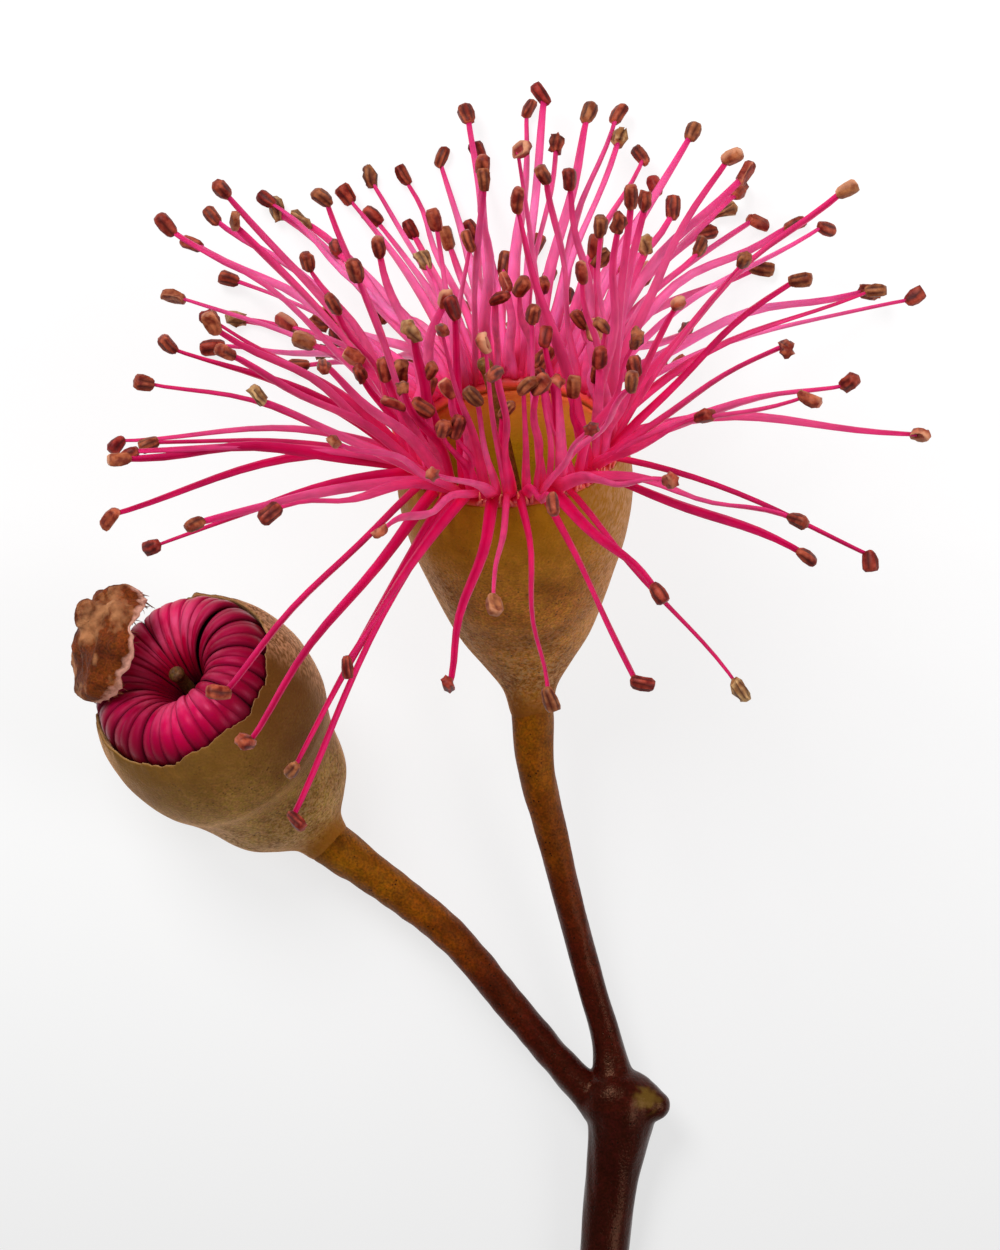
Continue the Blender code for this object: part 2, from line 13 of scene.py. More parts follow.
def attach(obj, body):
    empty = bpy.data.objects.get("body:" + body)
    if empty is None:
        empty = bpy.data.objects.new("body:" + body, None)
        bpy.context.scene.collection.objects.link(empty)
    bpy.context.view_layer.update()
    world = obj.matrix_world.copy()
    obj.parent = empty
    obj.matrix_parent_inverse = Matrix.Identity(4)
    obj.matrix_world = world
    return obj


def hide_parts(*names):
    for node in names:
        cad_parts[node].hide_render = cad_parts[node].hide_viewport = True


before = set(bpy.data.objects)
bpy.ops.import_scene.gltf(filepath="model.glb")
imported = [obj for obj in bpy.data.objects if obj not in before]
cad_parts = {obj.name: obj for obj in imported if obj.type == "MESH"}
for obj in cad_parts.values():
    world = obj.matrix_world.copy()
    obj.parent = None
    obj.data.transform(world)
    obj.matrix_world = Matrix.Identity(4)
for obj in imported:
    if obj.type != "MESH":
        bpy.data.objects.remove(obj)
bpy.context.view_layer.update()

MM = 0.001

# The picture, 20 of its pixels to the millimetre
PICTURE_HEIGHT = 62.5
PICTURE_MIDDLE = (0.0, 5.0)    # seen from above, in the part's frame
CAMERA_ABOVE = 700
SENSOR = 36
FLOOR_FADE = 300               # length of table over which its glow turns from grey to white
FLOOR_GLOW = [(0.0, 0.54), (0.4, 0.62), (0.47, 0.73), (0.53, 0.80), (0.62, 0.86), (1.0, 0.92)]
TABLE_HALF = 1.5                # this and the lights are in metres
LIGHTS = {"key": ((-0.22, 0.34, 0.50), 2.9), "fill": ((0.42, -0.10, 0.40), 1.2)}     # place and power
LIGHTS_AIM = (0, 0, 0.01)
LIGHT_SIZE = 0.30
SKY_STRENGTH = 0.25

# Places and leans, as in the part
HEAD_PLACE = (0.55, 14.2)
RIM_HEIGHT = 13.0
HEAD_LEAN = math.radians(35)
HEAD_TURN = math.radians(4.5)
BUD_OFFSET = (-16.5, -12.0)
BUD_HEIGHT = 9.4
BUD_LEAN = math.radians(45)
BUD_TURN = math.radians(41.3)
CAP_PLACE = (-19.9, -10.25)
CAP_HEIGHT = 9.0
CAP_LEAN = math.radians(20)
CAP_TURN = math.radians(70)

# Open flower's cup, heights below its rim
CUP_OUTSIDE = [(5.8, -0.3), (5.9, -2.0), (5.8, -3.8), (5.4, -5.6), (4.9, -7.2), (4.2, -9.3),
               (3.35, -11.3), (2.3, -13.0), (1.4, -14.4), (1.1, -15.6)]
CUP_FOOT = [(0.97, -16.0)]       # hidden in the pedicel
CUP_INSIDE = [(0.0, -6.4), (2.2, -6.3), (3.6, -5.4), (4.4, -3.6), (4.75, -1.6), (4.9, -0.3)]
CUP_LIP = [(5.68, -0.02), (5.78, -0.1)]
CUP_BEND_FROM = -8.0
CUP_BEND = math.radians(25)
CUP_SIDES = 128
CUP_ROUGH = 0.035
FLOWER_STYLE = [(0.0, 4.6), (0.30, 4.5), (0.4, 4.2), (0.30, 3.8), (0.27, 3.2), (0.3, 1.0), (0.42, -2.5),
                (0.7, -4.4), (1.6, -5.3), (2.0, -6.05), (1.9, -6.25), (0.0, -6.25)]
STYLE_SWAY = (0.9, -0.6)       # how far it leans aside and down for 10 mm of height

# Stamens
ROOT_HEIGHT = 0.35
ROOT_RADIUS = 5.3
STAMEN_LENGTH = 16.0
LENGTH_SPREAD = 1.6
LENGTH_STEP = 0.4
SPREADS = range(-20, 119)       # degrees from the cup's axis that a stamen may stand at
OUTER_SPREADS = (76, 42)        # wanted of the outer stamens in turn
INNER_LENGTHS = (5.5, 7.0, 8.5, 9.5, 11.0, 12.5, 14.0, 15.5)
FAR_SIDE_PULL = 1.1            # nearer to 1, more inner stamens root on the far side
INNER_ROOT = 5.15
ARCH = 0.35
NEAR_ARCH = 0.07
ARCH_END = 0.6
HANDLES = (0.35, 0.3)
WAVE = 0.3
FLOOR_HEIGHT = 0.36
FLOOR_SOFT = 1.4
SEED = 11
THREAD_POINTS = 14
THREAD_SIDES = 6
THREAD_WIDTHS = [0.72, 0.69, 0.61, 0.54, 0.47, 0.40, 0.33]
THREAD_FLATNESS = 0.55
THREAD_SHORT = 0.3              # how far a thread stops before the middle of its anther
ANTHER_LENGTH = 1.3
ANTHER_WIDTH = 0.88
ANTHER_NOISE_SEED = 4            # without one the vector noise differs from run to run
RING_PROFILE = [(4.85, -0.2), (4.85, 0.1), (5.05, 0.28), (5.35, 0.32), (5.6, 0.22), (5.73, 0.06),
                (5.75, -0.1), (5.6, -0.4), (5.4, -0.5), (4.85, -0.2)]
TEETH = 100                      # on the ring's outer edge, between the stamens
TOOTH_WIDTHS = [0.24, 0.19, 0.13, 0.05]

# Tips of the stamens from the middle of the rim, seen from above: those that reach furthest,
# then those that stand in front of or behind the cup's mouth
OUTER_TIPS = [
    (-2.2, 16.8), (0.8, 17.2), (1.7, 17.8), (3.9, 16.8), (5.4, 16.8), (5.5, 15.6), (6.8, 14.8),
    (-3.7, 14.8), (-5.5, 13.8), (-7.3, 13.8), (-8.4, 12.8), (-7.1, 11.7), (9.2, 15.8), (11.0, 14.1),
    (11.9, 13.7), (11.7, 13.0), (10.8, 12.1), (12.5, 11.7), (14.4, 11.3), (16.7, 11.9), (15.9, 11.1),
    (11.5, 8.8), (12.8, 9.1), (14.1, 8.0), (18.2, 7.9), (18.2, 7.2), (20.4, 7.3), (13.5, 4.6),
    (16.7, 2.9), (14.5, 2.2), (20.5, 0.3), (13.9, -3.9), (14.5, -5.6), (18.0, -5.8), (11.2, -12.3),
    (6.2, -12.1), (1.8, -12.6), (-3.1, -12.4), (-0.9, -8.1), (7.1, -7.5), (7.7, -1.9), (2.0, -3.1),
    (4.0, 0.5), (-3.8, -1.8), (-6.4, -4.4), (-8.2, -11.0), (-10.8, -16.4), (-10.9, -18.8),
    (-13.1, -15.2), (-14.4, -12.8), (-17.8, -5.2), (-15.5, -4.0), (-11.7, -3.6), (-20.1, -3.7),
    (-19.3, -1.0), (-19.7, 0.3), (-18.9, -0.3), (-17.9, 0.1), (-18.1, 3.1), (-17.0, 5.0),
    (-17.0, 7.5), (-17.3, 10.7), (-16.1, 10.2), (-14.4, 12.4), (-15.1, 11.4), (-13.9, 10.6),
    (-12.4, 12.5), (-12.1, 12.1), (-10.7, 11.6), (-9.2, 11.4), (-14.3, 8.6), (-14.9, 6.3),
    (-14.0, 6.6), (-14.8, 5.7), (-15.2, 5.2), (-14.0, 4.5), (-12.4, 2.1), (-8.7, 0.0),
]
INNER_TIPS = [
    (-1.6, 15.0), (-1.4, 13.5), (-1.3, 12.6), (0.3, 14.4), (0.2, 11.8), (1.7, 13.0), (2.3, 15.3),
    (2.9, 12.5), (5.9, 12.3), (6.7, 11.8), (7.5, 13.0), (8.3, 11.8), (9.8, 10.9), (9.6, 9.8),
    (-10.2, 8.7), (-9.0, 9.9), (-6.6, 9.6), (-7.7, 8.5), (-8.8, 7.0), (-9.0, 6.3), (-8.9, 5.2),
    (-9.4, 4.8), (-9.8, 6.2), (-11.4, 6.0), (-10.4, 5.1), (-10.8, 4.1), (-9.3, 3.8), (-5.1, 11.0),
    (-3.8, 11.0), (-3.3, 10.5), (-4.4, 9.2), (-3.8, 7.9), (-6.7, 6.7), (-5.8, 6.7), (-4.8, 5.4),
    (-3.5, 5.6), (-3.2, 6.9), (-2.5, 7.1), (-2.8, 6.5), (-1.9, 10.8), (-2.0, 9.7), (-0.8, 7.2),
    (1.2, 10.3), (-0.4, 9.0), (-0.2, 8.0), (0.4, 7.7), (1.9, 8.7), (1.7, 7.9), (0.0, 6.2),
    (1.0, 6.1), (-0.2, 5.5), (1.6, 5.1), (2.8, 7.4), (3.6, 7.1), (3.5, 8.3), (4.3, 9.0),
    (4.5, 10.3), (5.3, 10.9), (5.5, 9.0), (5.9, 7.7), (6.1, 6.2), (4.7, 5.8), (2.8, 6.1),
    (3.0, 5.4), (3.6, 6.0), (4.2, 9.6), (6.9, 9.8), (7.0, 8.7), (8.3, 7.1), (9.0, 5.8),
    (6.2, 4.8), (4.2, 5.2), (-7.7, 4.2), (-6.6, 4.5), (-7.5, 3.3), (-6.3, 3.5), (-5.5, 3.8),
    (-6.5, 2.6), (-5.6, 1.9), (-5.4, 2.7), (-5.0, 3.4), (-5.0, 4.4), (-4.1, 3.5), (-4.1, 2.6),
    (-3.0, 2.5), (-2.5, 3.5), (-2.0, 4.8), (-1.3, 4.5), (-1.9, 4.0), (-1.7, 2.0), (-0.7, 3.4),
    (-4.2, 1.7), (-3.4, 0.4), (-2.8, 0.5), (-0.4, 1.5), (0.6, 2.7), (1.3, 2.7), (1.4, 4.1),
    (2.3, 4.2), (1.6, 3.0), (2.3, 3.1), (3.3, 4.1), (4.4, 4.1), (3.1, 2.6), (4.2, 3.4),
    (6.2, 3.6), (5.9, 2.5), (7.7, 4.2), (8.6, 3.9), (9.5, 1.2),
]

# Bud, heights below its rim
BUD_OUTSIDE = [(5.2, 0.0), (5.55, -1.4), (5.7, -3.0), (5.45, -5.0), (4.7, -7.0), (4.15, -8.6),
               (3.75, -9.9), (3.25, -10.9), (2.4, -11.8), (1.6, -12.5), (1.3, -13.3)]
BUD_INSIDE = [(0.0, -3.7), (3.6, -3.7), (4.6, -2.5), (4.85, -1.0), (4.8, 0.0)]
BUD_LIP = [(4.92, 0.02), (5.02, 0.05), (5.26, -0.5)]
BUD_FOOT = [(1.36, -12.9), (1.24, -13.3), (1.1, -13.6)]
BUD_BEND_FROM = -5.0
BUD_BEND = math.radians(40)
BUD_CUP_SIDES = 192
BUD_CUP_ROUGH = 0.03
FOLD_ROUTE = [(4.35, -2.6), (4.6, -1.0), (4.55, 0.1), (4.1, 0.85), (3.3, 1.2), (2.4, 1.05),
              (1.6, 0.4), (1.05, -0.7), (0.8, -1.7)]
FOLDS = 40
FOLD_OVERLAP = 1.36
FOLD_CORE = [(0.0, -2.3), (0.9, -2.0), (1.3, -0.6), (1.9, 0.2), (2.6, 0.7), (3.3, 0.8), (4.0, 0.4),
             (4.3, -0.4), (4.2, -1.4), (3.5, -3.3), (0.0, -3.3)]
BUD_STYLE = [(0.0, 0.84), (0.2, 0.9), (0.36, 0.8), (0.42, 0.55), (0.33, 0.2), (0.3, -1.9), (0.0, -1.9)]
CAP_INSIDE = [(0.0, 1.35), (1.4, 1.0), (2.75, 0.0)]
CAP_OUTSIDE = [(3.05, 0.0), (3.0, 0.7), (2.2, 1.35), (1.3, 1.7), (0.85, 1.95), (0.75, 2.25), (0.45, 2.45),
               (0.0, 2.5)]
CAP_TEAR = [(0.25, 3, 2), (0.15, 7, 0)]      # waves of its torn edge: height, number and start
CAP_KNOB_SHIFT = 1.0
FIBRES = 90                      # along the cap's torn edge

# Twig: points from the middle of the flower's rim, height above the table, thickness across
PEDUNCLE = [((4.35, -46.6, 1.21), 2.5), ((4.6, -43.0, 1.25), 2.5), ((4.85, -40.0, 1.35), 2.55),
            ((5.15, -37.2, 1.6), 2.75), ((5.45, -35.4, 1.9), 3.1), ((5.6, -34.0, 2.1), 3.5),
            ((5.6, -33.0, 2.2), 3.2)]
FLOWER_PEDICEL = [((5.4, -33.4, 2.2), 2.5), ((5.15, -31.8, 2.2), 2.0), ((4.85, -30.2, 2.25), 1.55),
                  ((3.95, -27.0, 2.5), 1.45), ((2.9, -23.1, 3.1), 1.5), ((2.0, -19.5, 4.1), 1.65),
                  ((1.25, -16.3, 5.0), 1.9), ((1.1, -13.92, 5.45), 2.15)]
BUD_PEDICEL = [((5.0, -33.9, 2.2), 2.3), ((3.1, -32.1, 2.1), 1.75), ((0.3, -28.85, 2.0), 1.65),
               ((-3.05, -24.95, 2.0), 1.75), ((-6.78, -22.0, 2.2), 2.0), ((-8.87, -20.5, 2.4), 2.34)]
KNUCKLE_PLACE = (5.5, -33.4, 2.2)
SCAR_PLACE = (7.0, -33.55, 2.6)
SCAR_FACE = (-0.1, 0.35, 0.95)       # its pale face from its middle
TWIG_BALLS = [(KNUCKLE_PLACE, 1.95, (1.05, 0.9, 0.85)), (SCAR_PLACE, 0.9, (1.25, 1.0, 0.9)),
              ((6.35, -33.45, 2.45), 1.25, (1.25, 1.0, 0.9))]     # place, radius and stretch
SINK = 0.7                      # how far a pedicel runs on into the cup that it bears
TWIG_VOXEL = 0.11
TWIG_SMOOTHINGS = 6


# Frames and routes

def cup_frame(offset, height, lean, turn):
    """A cup's own axes: +X to its left, +Y up from the table and +Z along its axis."""
    flat = Vector((-math.sin(turn), math.cos(turn), 0))
    axis = flat * math.cos(lean) + Vector((0, 0, math.sin(lean)))
    left = Vector((-math.cos(turn), -math.sin(turn), 0))
    matrix = Matrix((left, axis.cross(left), axis)).transposed().to_4x4()
    matrix.translation = (HEAD_PLACE[0] + offset[0], HEAD_PLACE[1] + offset[1], height)
    return matrix


HEAD = cup_frame((0, 0), RIM_HEIGHT, HEAD_LEAN, HEAD_TURN)
BUD = cup_frame(BUD_OFFSET, BUD_HEIGHT, BUD_LEAN, BUD_TURN)
CAP = cup_frame(CAP_PLACE, CAP_HEIGHT, CAP_LEAN, CAP_TURN)


def in_plan(point):
    return Vector((point[0] + HEAD_PLACE[0], point[1] + HEAD_PLACE[1], point[2]))


def catmull(values, t):
    before, start, end, after = values
    return (start * 2 + (end - before) * t + (before * 2 - start * 5 + end * 4 - after) * t ** 2
            + (start * 3 - before - end * 3 + after) * t ** 3) * 0.5


def smooth_through(values, steps):
    """Points of a smooth curve through the values given."""
    values = [values[0] * 2 - values[1]] + list(values) + [values[-1] * 2 - values[-2]]
    curve = []
    for index in range(1, len(values) - 2):
        for step in range(steps):
            curve.append(catmull(values[index - 1:index + 3], step / steps))
    curve.append(values[-2])
    return curve


def smooth_profile(profile, steps):
    return [(max(0, point.x), point.y) for point in smooth_through([Vector(p) for p in profile], steps)]


def ease(low, high, value):
    """0 below low, 1 above high, smooth between."""
    share = min(1, max(0, (value - low) / (high - low)))
    return share * share * (3 - 2 * share)


def outward_at(around):
    return Vector((math.cos(around), math.sin(around), 0))


def angle_of(point):
    return math.atan2(point.y, point.x)


def ring_noise(around, reach, height):
    """Noise that closes on itself round a ring: the wider its reach, the finer it is."""
    return noise.noise(Vector((math.cos(around) * reach, math.sin(around) * reach, height)))


# Stamens, by the part's own rule

def aims(tip, length):
    """Each angle round the ring and spread that bring a stamen's tip over a plan point."""
    x = -tip[0] * math.cos(HEAD_TURN) - tip[1] * math.sin(HEAD_TURN)
    y = tip[1] * math.cos(HEAD_TURN) - tip[0] * math.sin(HEAD_TURN)
    found = []
    for front in (1, -1):
        last = None
        for degrees in SPREADS:
            spread = math.radians(degrees)
            reach = ROOT_RADIUS + length * math.sin(spread)
            if reach <= abs(x):
                last = None
                continue
            across = front * math.sqrt(reach ** 2 - x ** 2)
            miss = length * math.cos(spread) * math.cos(HEAD_LEAN) - across * math.sin(HEAD_LEAN) - y
            if last is not None and miss * last <= 0:
                found.append((math.atan2(across, x), spread))
            last = miss
    return found


def room(around, taken):
    """How far an angle round the ring is from the nearest one already taken."""
    return min((abs(math.remainder(around - other, math.tau)) for other in taken), default=math.pi)


def stamens():
    """Every stamen as its angle round the ring, spread, length, root radius and own seed."""
    rng = random.Random(SEED)
    placed = []
    for index, tip in enumerate(OUTER_TIPS):
        length = STAMEN_LENGTH + rng.uniform(-1, 1) * LENGTH_SPREAD
        ways = aims(tip, length)
        while not ways:
            length += LENGTH_STEP
            ways = aims(tip, length)
        wanted = math.radians(OUTER_SPREADS[index % 2])
        around, spread = min(ways, key=lambda way: abs(way[1] - wanted))
        placed.append((around, spread, length, ROOT_RADIUS, rng.random()))
    taken = []
    for tip in INNER_TIPS:
        ways = [(*way, length) for length in INNER_LENGTHS for way in aims(tip, length)]
        around, spread, length = max(ways, key=lambda way: room(way[0], taken)
                                     * (FAR_SIDE_PULL - math.sin(way[0])))
        taken.append(around)
        placed.append((around, spread, length, INNER_ROOT, rng.random()))
    return placed


def above_table(height):
    """A height eased so that it never goes below that of an anther lying on the table."""
    over = height - FLOOR_HEIGHT
    if over > FLOOR_SOFT:
        return height
    if over < -FLOOR_SOFT:
        return FLOOR_HEIGHT
    return FLOOR_HEIGHT + (over + FLOOR_SOFT) ** 2 / (4 * FLOOR_SOFT)


def filament_route(stamen, count):
    """Points from a stamen's root in the ring to its tip, arched, waved and kept off the table."""
    around, spread, length, root_radius, own = stamen
    outward = outward_at(around)
    axis = Vector((0, 0, 1))
    straight = axis * math.cos(spread) + outward * math.sin(spread)
    root = outward * root_radius + axis * ROOT_HEIGHT
    tip = outward * ROOT_RADIUS + straight * length
    arch = ARCH + (NEAR_ARCH - ARCH) * max(0, math.sin(around))
    early = (straight + axis * arch).normalized()
    late = (straight - axis * arch * ARCH_END).normalized()
    first_handle = root + early * length * HANDLES[0]
    last_handle = tip - late * length * HANDLES[1]
    sideways = Quaternion(straight, own * math.tau) @ straight.orthogonal().normalized()
    points = []
    for step in range(count):
        t = step / (count - 1)
        place = (root * (1 - t) ** 3 + first_handle * 3 * t * (1 - t) ** 2
                 + last_handle * 3 * t ** 2 * (1 - t) + tip * t ** 3)
        wave = math.sin(t * math.tau * (0.5 + own)) * t * (1 - t) * 4
        place = HEAD @ (place + sideways * wave * WAVE)
        place.z = above_table(place.z)
        points.append(place)
    return points


# Shapes

def turned(profile, sides):
    """A profile of (radius, height) spun round +Z."""
    shape = bmesh.new()
    points = [shape.verts.new((radius, 0, height)) for radius, height in profile]
    for first, second in zip(points, points[1:]):
        shape.edges.new((first, second))
    bmesh.ops.spin(shape, geom=shape.verts[:] + shape.edges[:], cent=(0, 0, 0), axis=(0, 0, 1),
                   angle=math.tau, steps=sides, use_merge=True, use_duplicate=False)
    bmesh.ops.remove_doubles(shape, verts=shape.verts, dist=1e-4)
    bmesh.ops.recalc_face_normals(shape, faces=shape.faces)
    return shape


def bend(shape, start, angle, length):
    """Curve the part below a height towards +Y, evenly, up to an angle."""
    rate = angle / length
    for vert in shape.verts:
        run = start - vert.co.z
        if run > 0:
            turn = rate * run
            across = vert.co.y
            vert.co.z = start - math.sin(turn) / rate + across * math.sin(turn)
            vert.co.y = (1 - math.cos(turn)) / rate + across * math.cos(turn)


def route_frames(route, first_side):
    """A frame at each point of a route, +Z along it, carried on without twist."""
    frames = []
    side = first_side
    for index, place in enumerate(route):
        ahead = route[min(index + 1, len(route) - 1)] - route[max(index - 1, 0)]
        ahead = ahead.normalized()
        side = (side - ahead * side.dot(ahead)).normalized()
        frame_here = Matrix((side, ahead.cross(side), ahead)).transposed().to_4x4()
        frame_here.translation = place
        frames.append(frame_here)
    return frames


def add_marks(shape, *names):
    """New numbers on every point of a shape, for its material to read."""
    return [shape.verts.layers.float.new(name) for name in names]


def swept(route, widths, flatness, side, twist, sides, own=0.0):
    """A closed thread along a route: one ring of points drawn out from place to place."""
    shape = bmesh.new()
    along, lot, mark = add_marks(shape, "along", "own", "mark")
    frames = route_frames(route, side)
    last = len(route) - 1
    bmesh.ops.create_circle(shape, segments=sides, radius=0.5, cap_ends=True)
    ring = shape.verts[:]
    edges = shape.edges[:]
    section = Matrix.Identity(4)
    for index, width in enumerate(widths):
        turn = Matrix.Rotation(twist * index / last, 4, "Z")
        new_section = frames[index] @ turn @ Matrix.Diagonal((width, width * flatness, 1, 1))
        if index:
            drawn = bmesh.ops.extrude_edge_only(shape, edges=edges)["geom"]
            ring = [part for part in drawn if isinstance(part, bmesh.types.BMVert)]
            on_ring = set(ring)
            edges = [part for part in drawn if isinstance(part, bmesh.types.BMEdge)
                     and set(part.verts) <= on_ring]
        bmesh.ops.transform(shape, matrix=new_section @ section.inverted(), verts=ring)
        for vert in ring:
            vert[along] = index / last
            vert[lot] = own
            vert[mark] = abs((new_section.inverted() @ vert.co).x * 2) ** 3
        section = new_section
    bmesh.ops.edgeloop_fill(shape, edges=edges)
    bmesh.ops.recalc_face_normals(shape, faces=shape.faces)
    return shape


def spike_route(foot, lean, length, curl):
    """Points from a foot, straight at first and then curling away."""
    return [foot + lean * length * step / 3 + curl * (step / 3) ** 2 for step in range(4)]


def gather(shapes):
    """Several shapes as one, keeping their attributes."""
    whole = bmesh.new()
    add_marks(whole, "along", "own", "mark")
    for shape in shapes:
        mesh = bpy.data.meshes.new("one")
        shape.to_mesh(mesh)
        shape.free()
        whole.from_mesh(mesh)
        bpy.data.meshes.remove(mesh)
    return whole


def add_object(name, data):
    item = bpy.data.objects.new(name, data)
    bpy.context.scene.collection.objects.link(item)
    return item


def finish_piece(shape, name, node, material, place=None):
    """A shape put in its place, none of it below the table, as the piece that stands for a node."""
    if place is not None:
        bmesh.ops.transform(shape, matrix=place, verts=shape.verts)
    for vert in shape.verts:
        vert.co.z = max(0.0, vert.co.z)
    bmesh.ops.scale(shape, vec=(MM, MM, MM), verts=shape.verts)
    for face in shape.faces:
        face.smooth = True
    mesh = bpy.data.meshes.new(name)
    shape.to_mesh(mesh)
    shape.free()
    piece = add_object(name, mesh)
    mesh.materials.append(material)
    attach(piece, "root")
    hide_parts(node)
    return piece


# Materials

def colour(red, green, blue):
    """A screen colour from 0 to 255 as the linear colour that a shader takes."""
    linear = []
    for value in (red, green, blue):
        value /= 255
        linear.append(value / 12.92 if value <= 0.04045 else ((value + 0.055) / 1.055) ** 2.4)
    return (*linear, 1)


def add_node(tree, kind, inputs=None, **settings):
    """A shader node with its settings made, and its inputs set or linked by name or number."""
    node = tree.nodes.new(kind)
    for name, value in settings.items():
        setattr(node, name, value)
    for name, value in (inputs or {}).items():
        if isinstance(value, bpy.types.NodeSocket):
            tree.links.new(value, node.inputs[name])
        else:
            node.inputs[name].default_value = value
    return node


def mix(tree, share, first, second, blend="MIX"):
    """A colour mixed from two, each a colour or a socket."""
    inputs = {0: share, 6: first, 7: second}
    return add_node(tree, "ShaderNodeMix", inputs, data_type="RGBA", blend_type=blend).outputs[2]


def calculate(tree, operation, first, second, clamp=False):
    inputs = {0: first, 1: second}
    return add_node(tree, "ShaderNodeMath", inputs, operation=operation, use_clamp=clamp).outputs[0]


def times(tree, first, second):
    return calculate(tree, "MULTIPLY", first, second)


def ramp(tree, value, stops):
    """A colour read from stops, each a place and a linear colour."""
    node = add_node(tree, "ShaderNodeValToRGB", {"Fac": value})
    elements = node.color_ramp.elements
    while len(elements) < len(stops):
        elements.new(0.5)
    for element, (place, shade) in zip(elements, stops):
        element.position = place
        element.color = shade
    return node.outputs["Color"]


def tints(tree, value, *stops):
    """A colour read from stops, each a place and a screen colour."""
    return ramp(tree, value, [(place, colour(*shade)) for place, *shade in stops])


def mask(tree, value, *stops):
    """A level read from stops, each a place and a level."""
    return ramp(tree, value, [(place, (level, level, level, 1)) for place, level in stops])


def attribute(tree, name):
    return add_node(tree, "ShaderNodeAttribute", attribute_name=name).outputs["Fac"]


def millimetres(tree):
    """Places on the piece, counted in millimetres."""
    place = add_node(tree, "ShaderNodeTexCoord").outputs["Object"]
    return add_node(tree, "ShaderNodeMapping", {"Vector": place, "Scale": (1 / MM,) * 3}).outputs[0]


def clouds(tree, where, scale, detail=2.0, roughness=0.5):
    """Soft noise about 0.5."""
    inputs = {"Vector": where, "Scale": scale, "Detail": detail, "Roughness": roughness}
    return add_node(tree, "ShaderNodeTexNoise", inputs).outputs["Fac"]


def swayed(tree, value, wander, amount):
    """A value that wanders up and down with a noise."""
    return calculate(tree, "ADD", value, times(tree, calculate(tree, "SUBTRACT", wander, 0.5), amount))


def along_thread(tree, apart, along, across):
    """A place that runs along each thread and lies apart from every other thread's, for streaks."""
    return add_node(tree, "ShaderNodeCombineXYZ", {
        "X": times(tree, attribute(tree, "own"), apart), "Y": times(tree, attribute(tree, "along"), along),
        "Z": times(tree, attribute(tree, "mark"), across)}).outputs[0]


SKIN_INPUTS = {"Vector": "NodeSocketVector", "Light": "NodeSocketColor", "Dark": "NodeSocketColor",
               "Speck": "NodeSocketColor", "Mottle Size": "NodeSocketFloat",
               "Speck Amount": "NodeSocketFloat"}
SKIN_OUTPUTS = {"Color": "NodeSocketColor", "Height": "NodeSocketFloat"}


def build_skin_group():
    """Mottled plant skin with fine dark specks and a slightly rough surface."""
    group = bpy.data.node_groups.new("plant skin", "ShaderNodeTree")
    for label, kind in SKIN_INPUTS.items():
        group.interface.new_socket(label, in_out="INPUT", socket_type=kind)
    for label, kind in SKIN_OUTPUTS.items():
        group.interface.new_socket(label, in_out="OUTPUT", socket_type=kind)
    given = group.nodes.new("NodeGroupInput").outputs
    put_out = group.nodes.new("NodeGroupOutput").inputs
    where = given["Vector"]
    large = clouds(group, where, given["Mottle Size"], 4.0, 0.6)
    body = mix(group, mask(group, large, (0.30, 0), (0.70, 1)), given["Dark"], given["Light"])
    fine = clouds(group, where, 8.0, 3.0)
    body = mix(group, 1.0, body, mask(group, fine, (0.30, 0.58), (0.70, 1.36)), "MULTIPLY")
    hue = ramp(group, clouds(group, where, 3.6, 4.0, 0.7),
               [(0.36, (0.90, 1.04, 0.62, 1)), (0.64, (1.12, 0.95, 1.30, 1))])
    body = mix(group, 1.0, body, hue, "MULTIPLY")
    dots = add_node(group, "ShaderNodeTexVoronoi", {"Vector": where, "Scale": 4.2, "Randomness": 1.0})
    patches = mask(group, clouds(group, where, 1.1), (0.36, 0), (0.62, 1))
    size = times(group, times(group, patches, given["Speck Amount"]), 0.30)
    near = calculate(group, "SUBTRACT", size, dots.outputs["Distance"])
    speck = calculate(group, "MULTIPLY", near, 10.0, clamp=True)
    group.links.new(mix(group, speck, body, given["Speck"]), put_out["Color"])
    bumps = calculate(group, "ADD", times(group, fine, 0.5), times(group, large, 0.8))
    group.links.new(calculate(group, "SUBTRACT", bumps, times(group, speck, 0.2)), put_out["Height"])
    return group


SKIN = build_skin_group()


def skin(tree, where, light, dark, speck, mottle, amount):
    """The plant skin's colour and height, from screen colours."""
    inputs = {"Vector": where, "Light": colour(*light), "Dark": colour(*dark), "Speck": colour(*speck),
              "Mottle Size": mottle, "Speck Amount": amount}
    node = add_node(tree, "ShaderNodeGroup", inputs, node_tree=SKIN)
    return node.outputs["Color"], node.outputs["Height"]


def new_material(name, **surface_values):
    """A material whose surface has the plain values given."""
    material = bpy.data.materials.new(name)
    material.use_nodes = True
    tree = material.node_tree
    surface = tree.nodes["Principled BSDF"]
    for label, value in surface_values.items():
        surface.inputs[label.replace("_", " ")].default_value = value
    return material, tree, surface


def dress(tree, surface, body, height=None, strength=0.0, depth=0.0):
    """Give a surface its colour and, with a height, a relief of that depth in millimetres."""
    tree.links.new(body, surface.inputs["Base Color"])
    if height is not None:
        inputs = {"Height": height, "Strength": strength, "Distance": depth * MM}
        bump = add_node(tree, "ShaderNodeBump", inputs)
        tree.links.new(bump.outputs["Normal"], surface.inputs["Normal"])


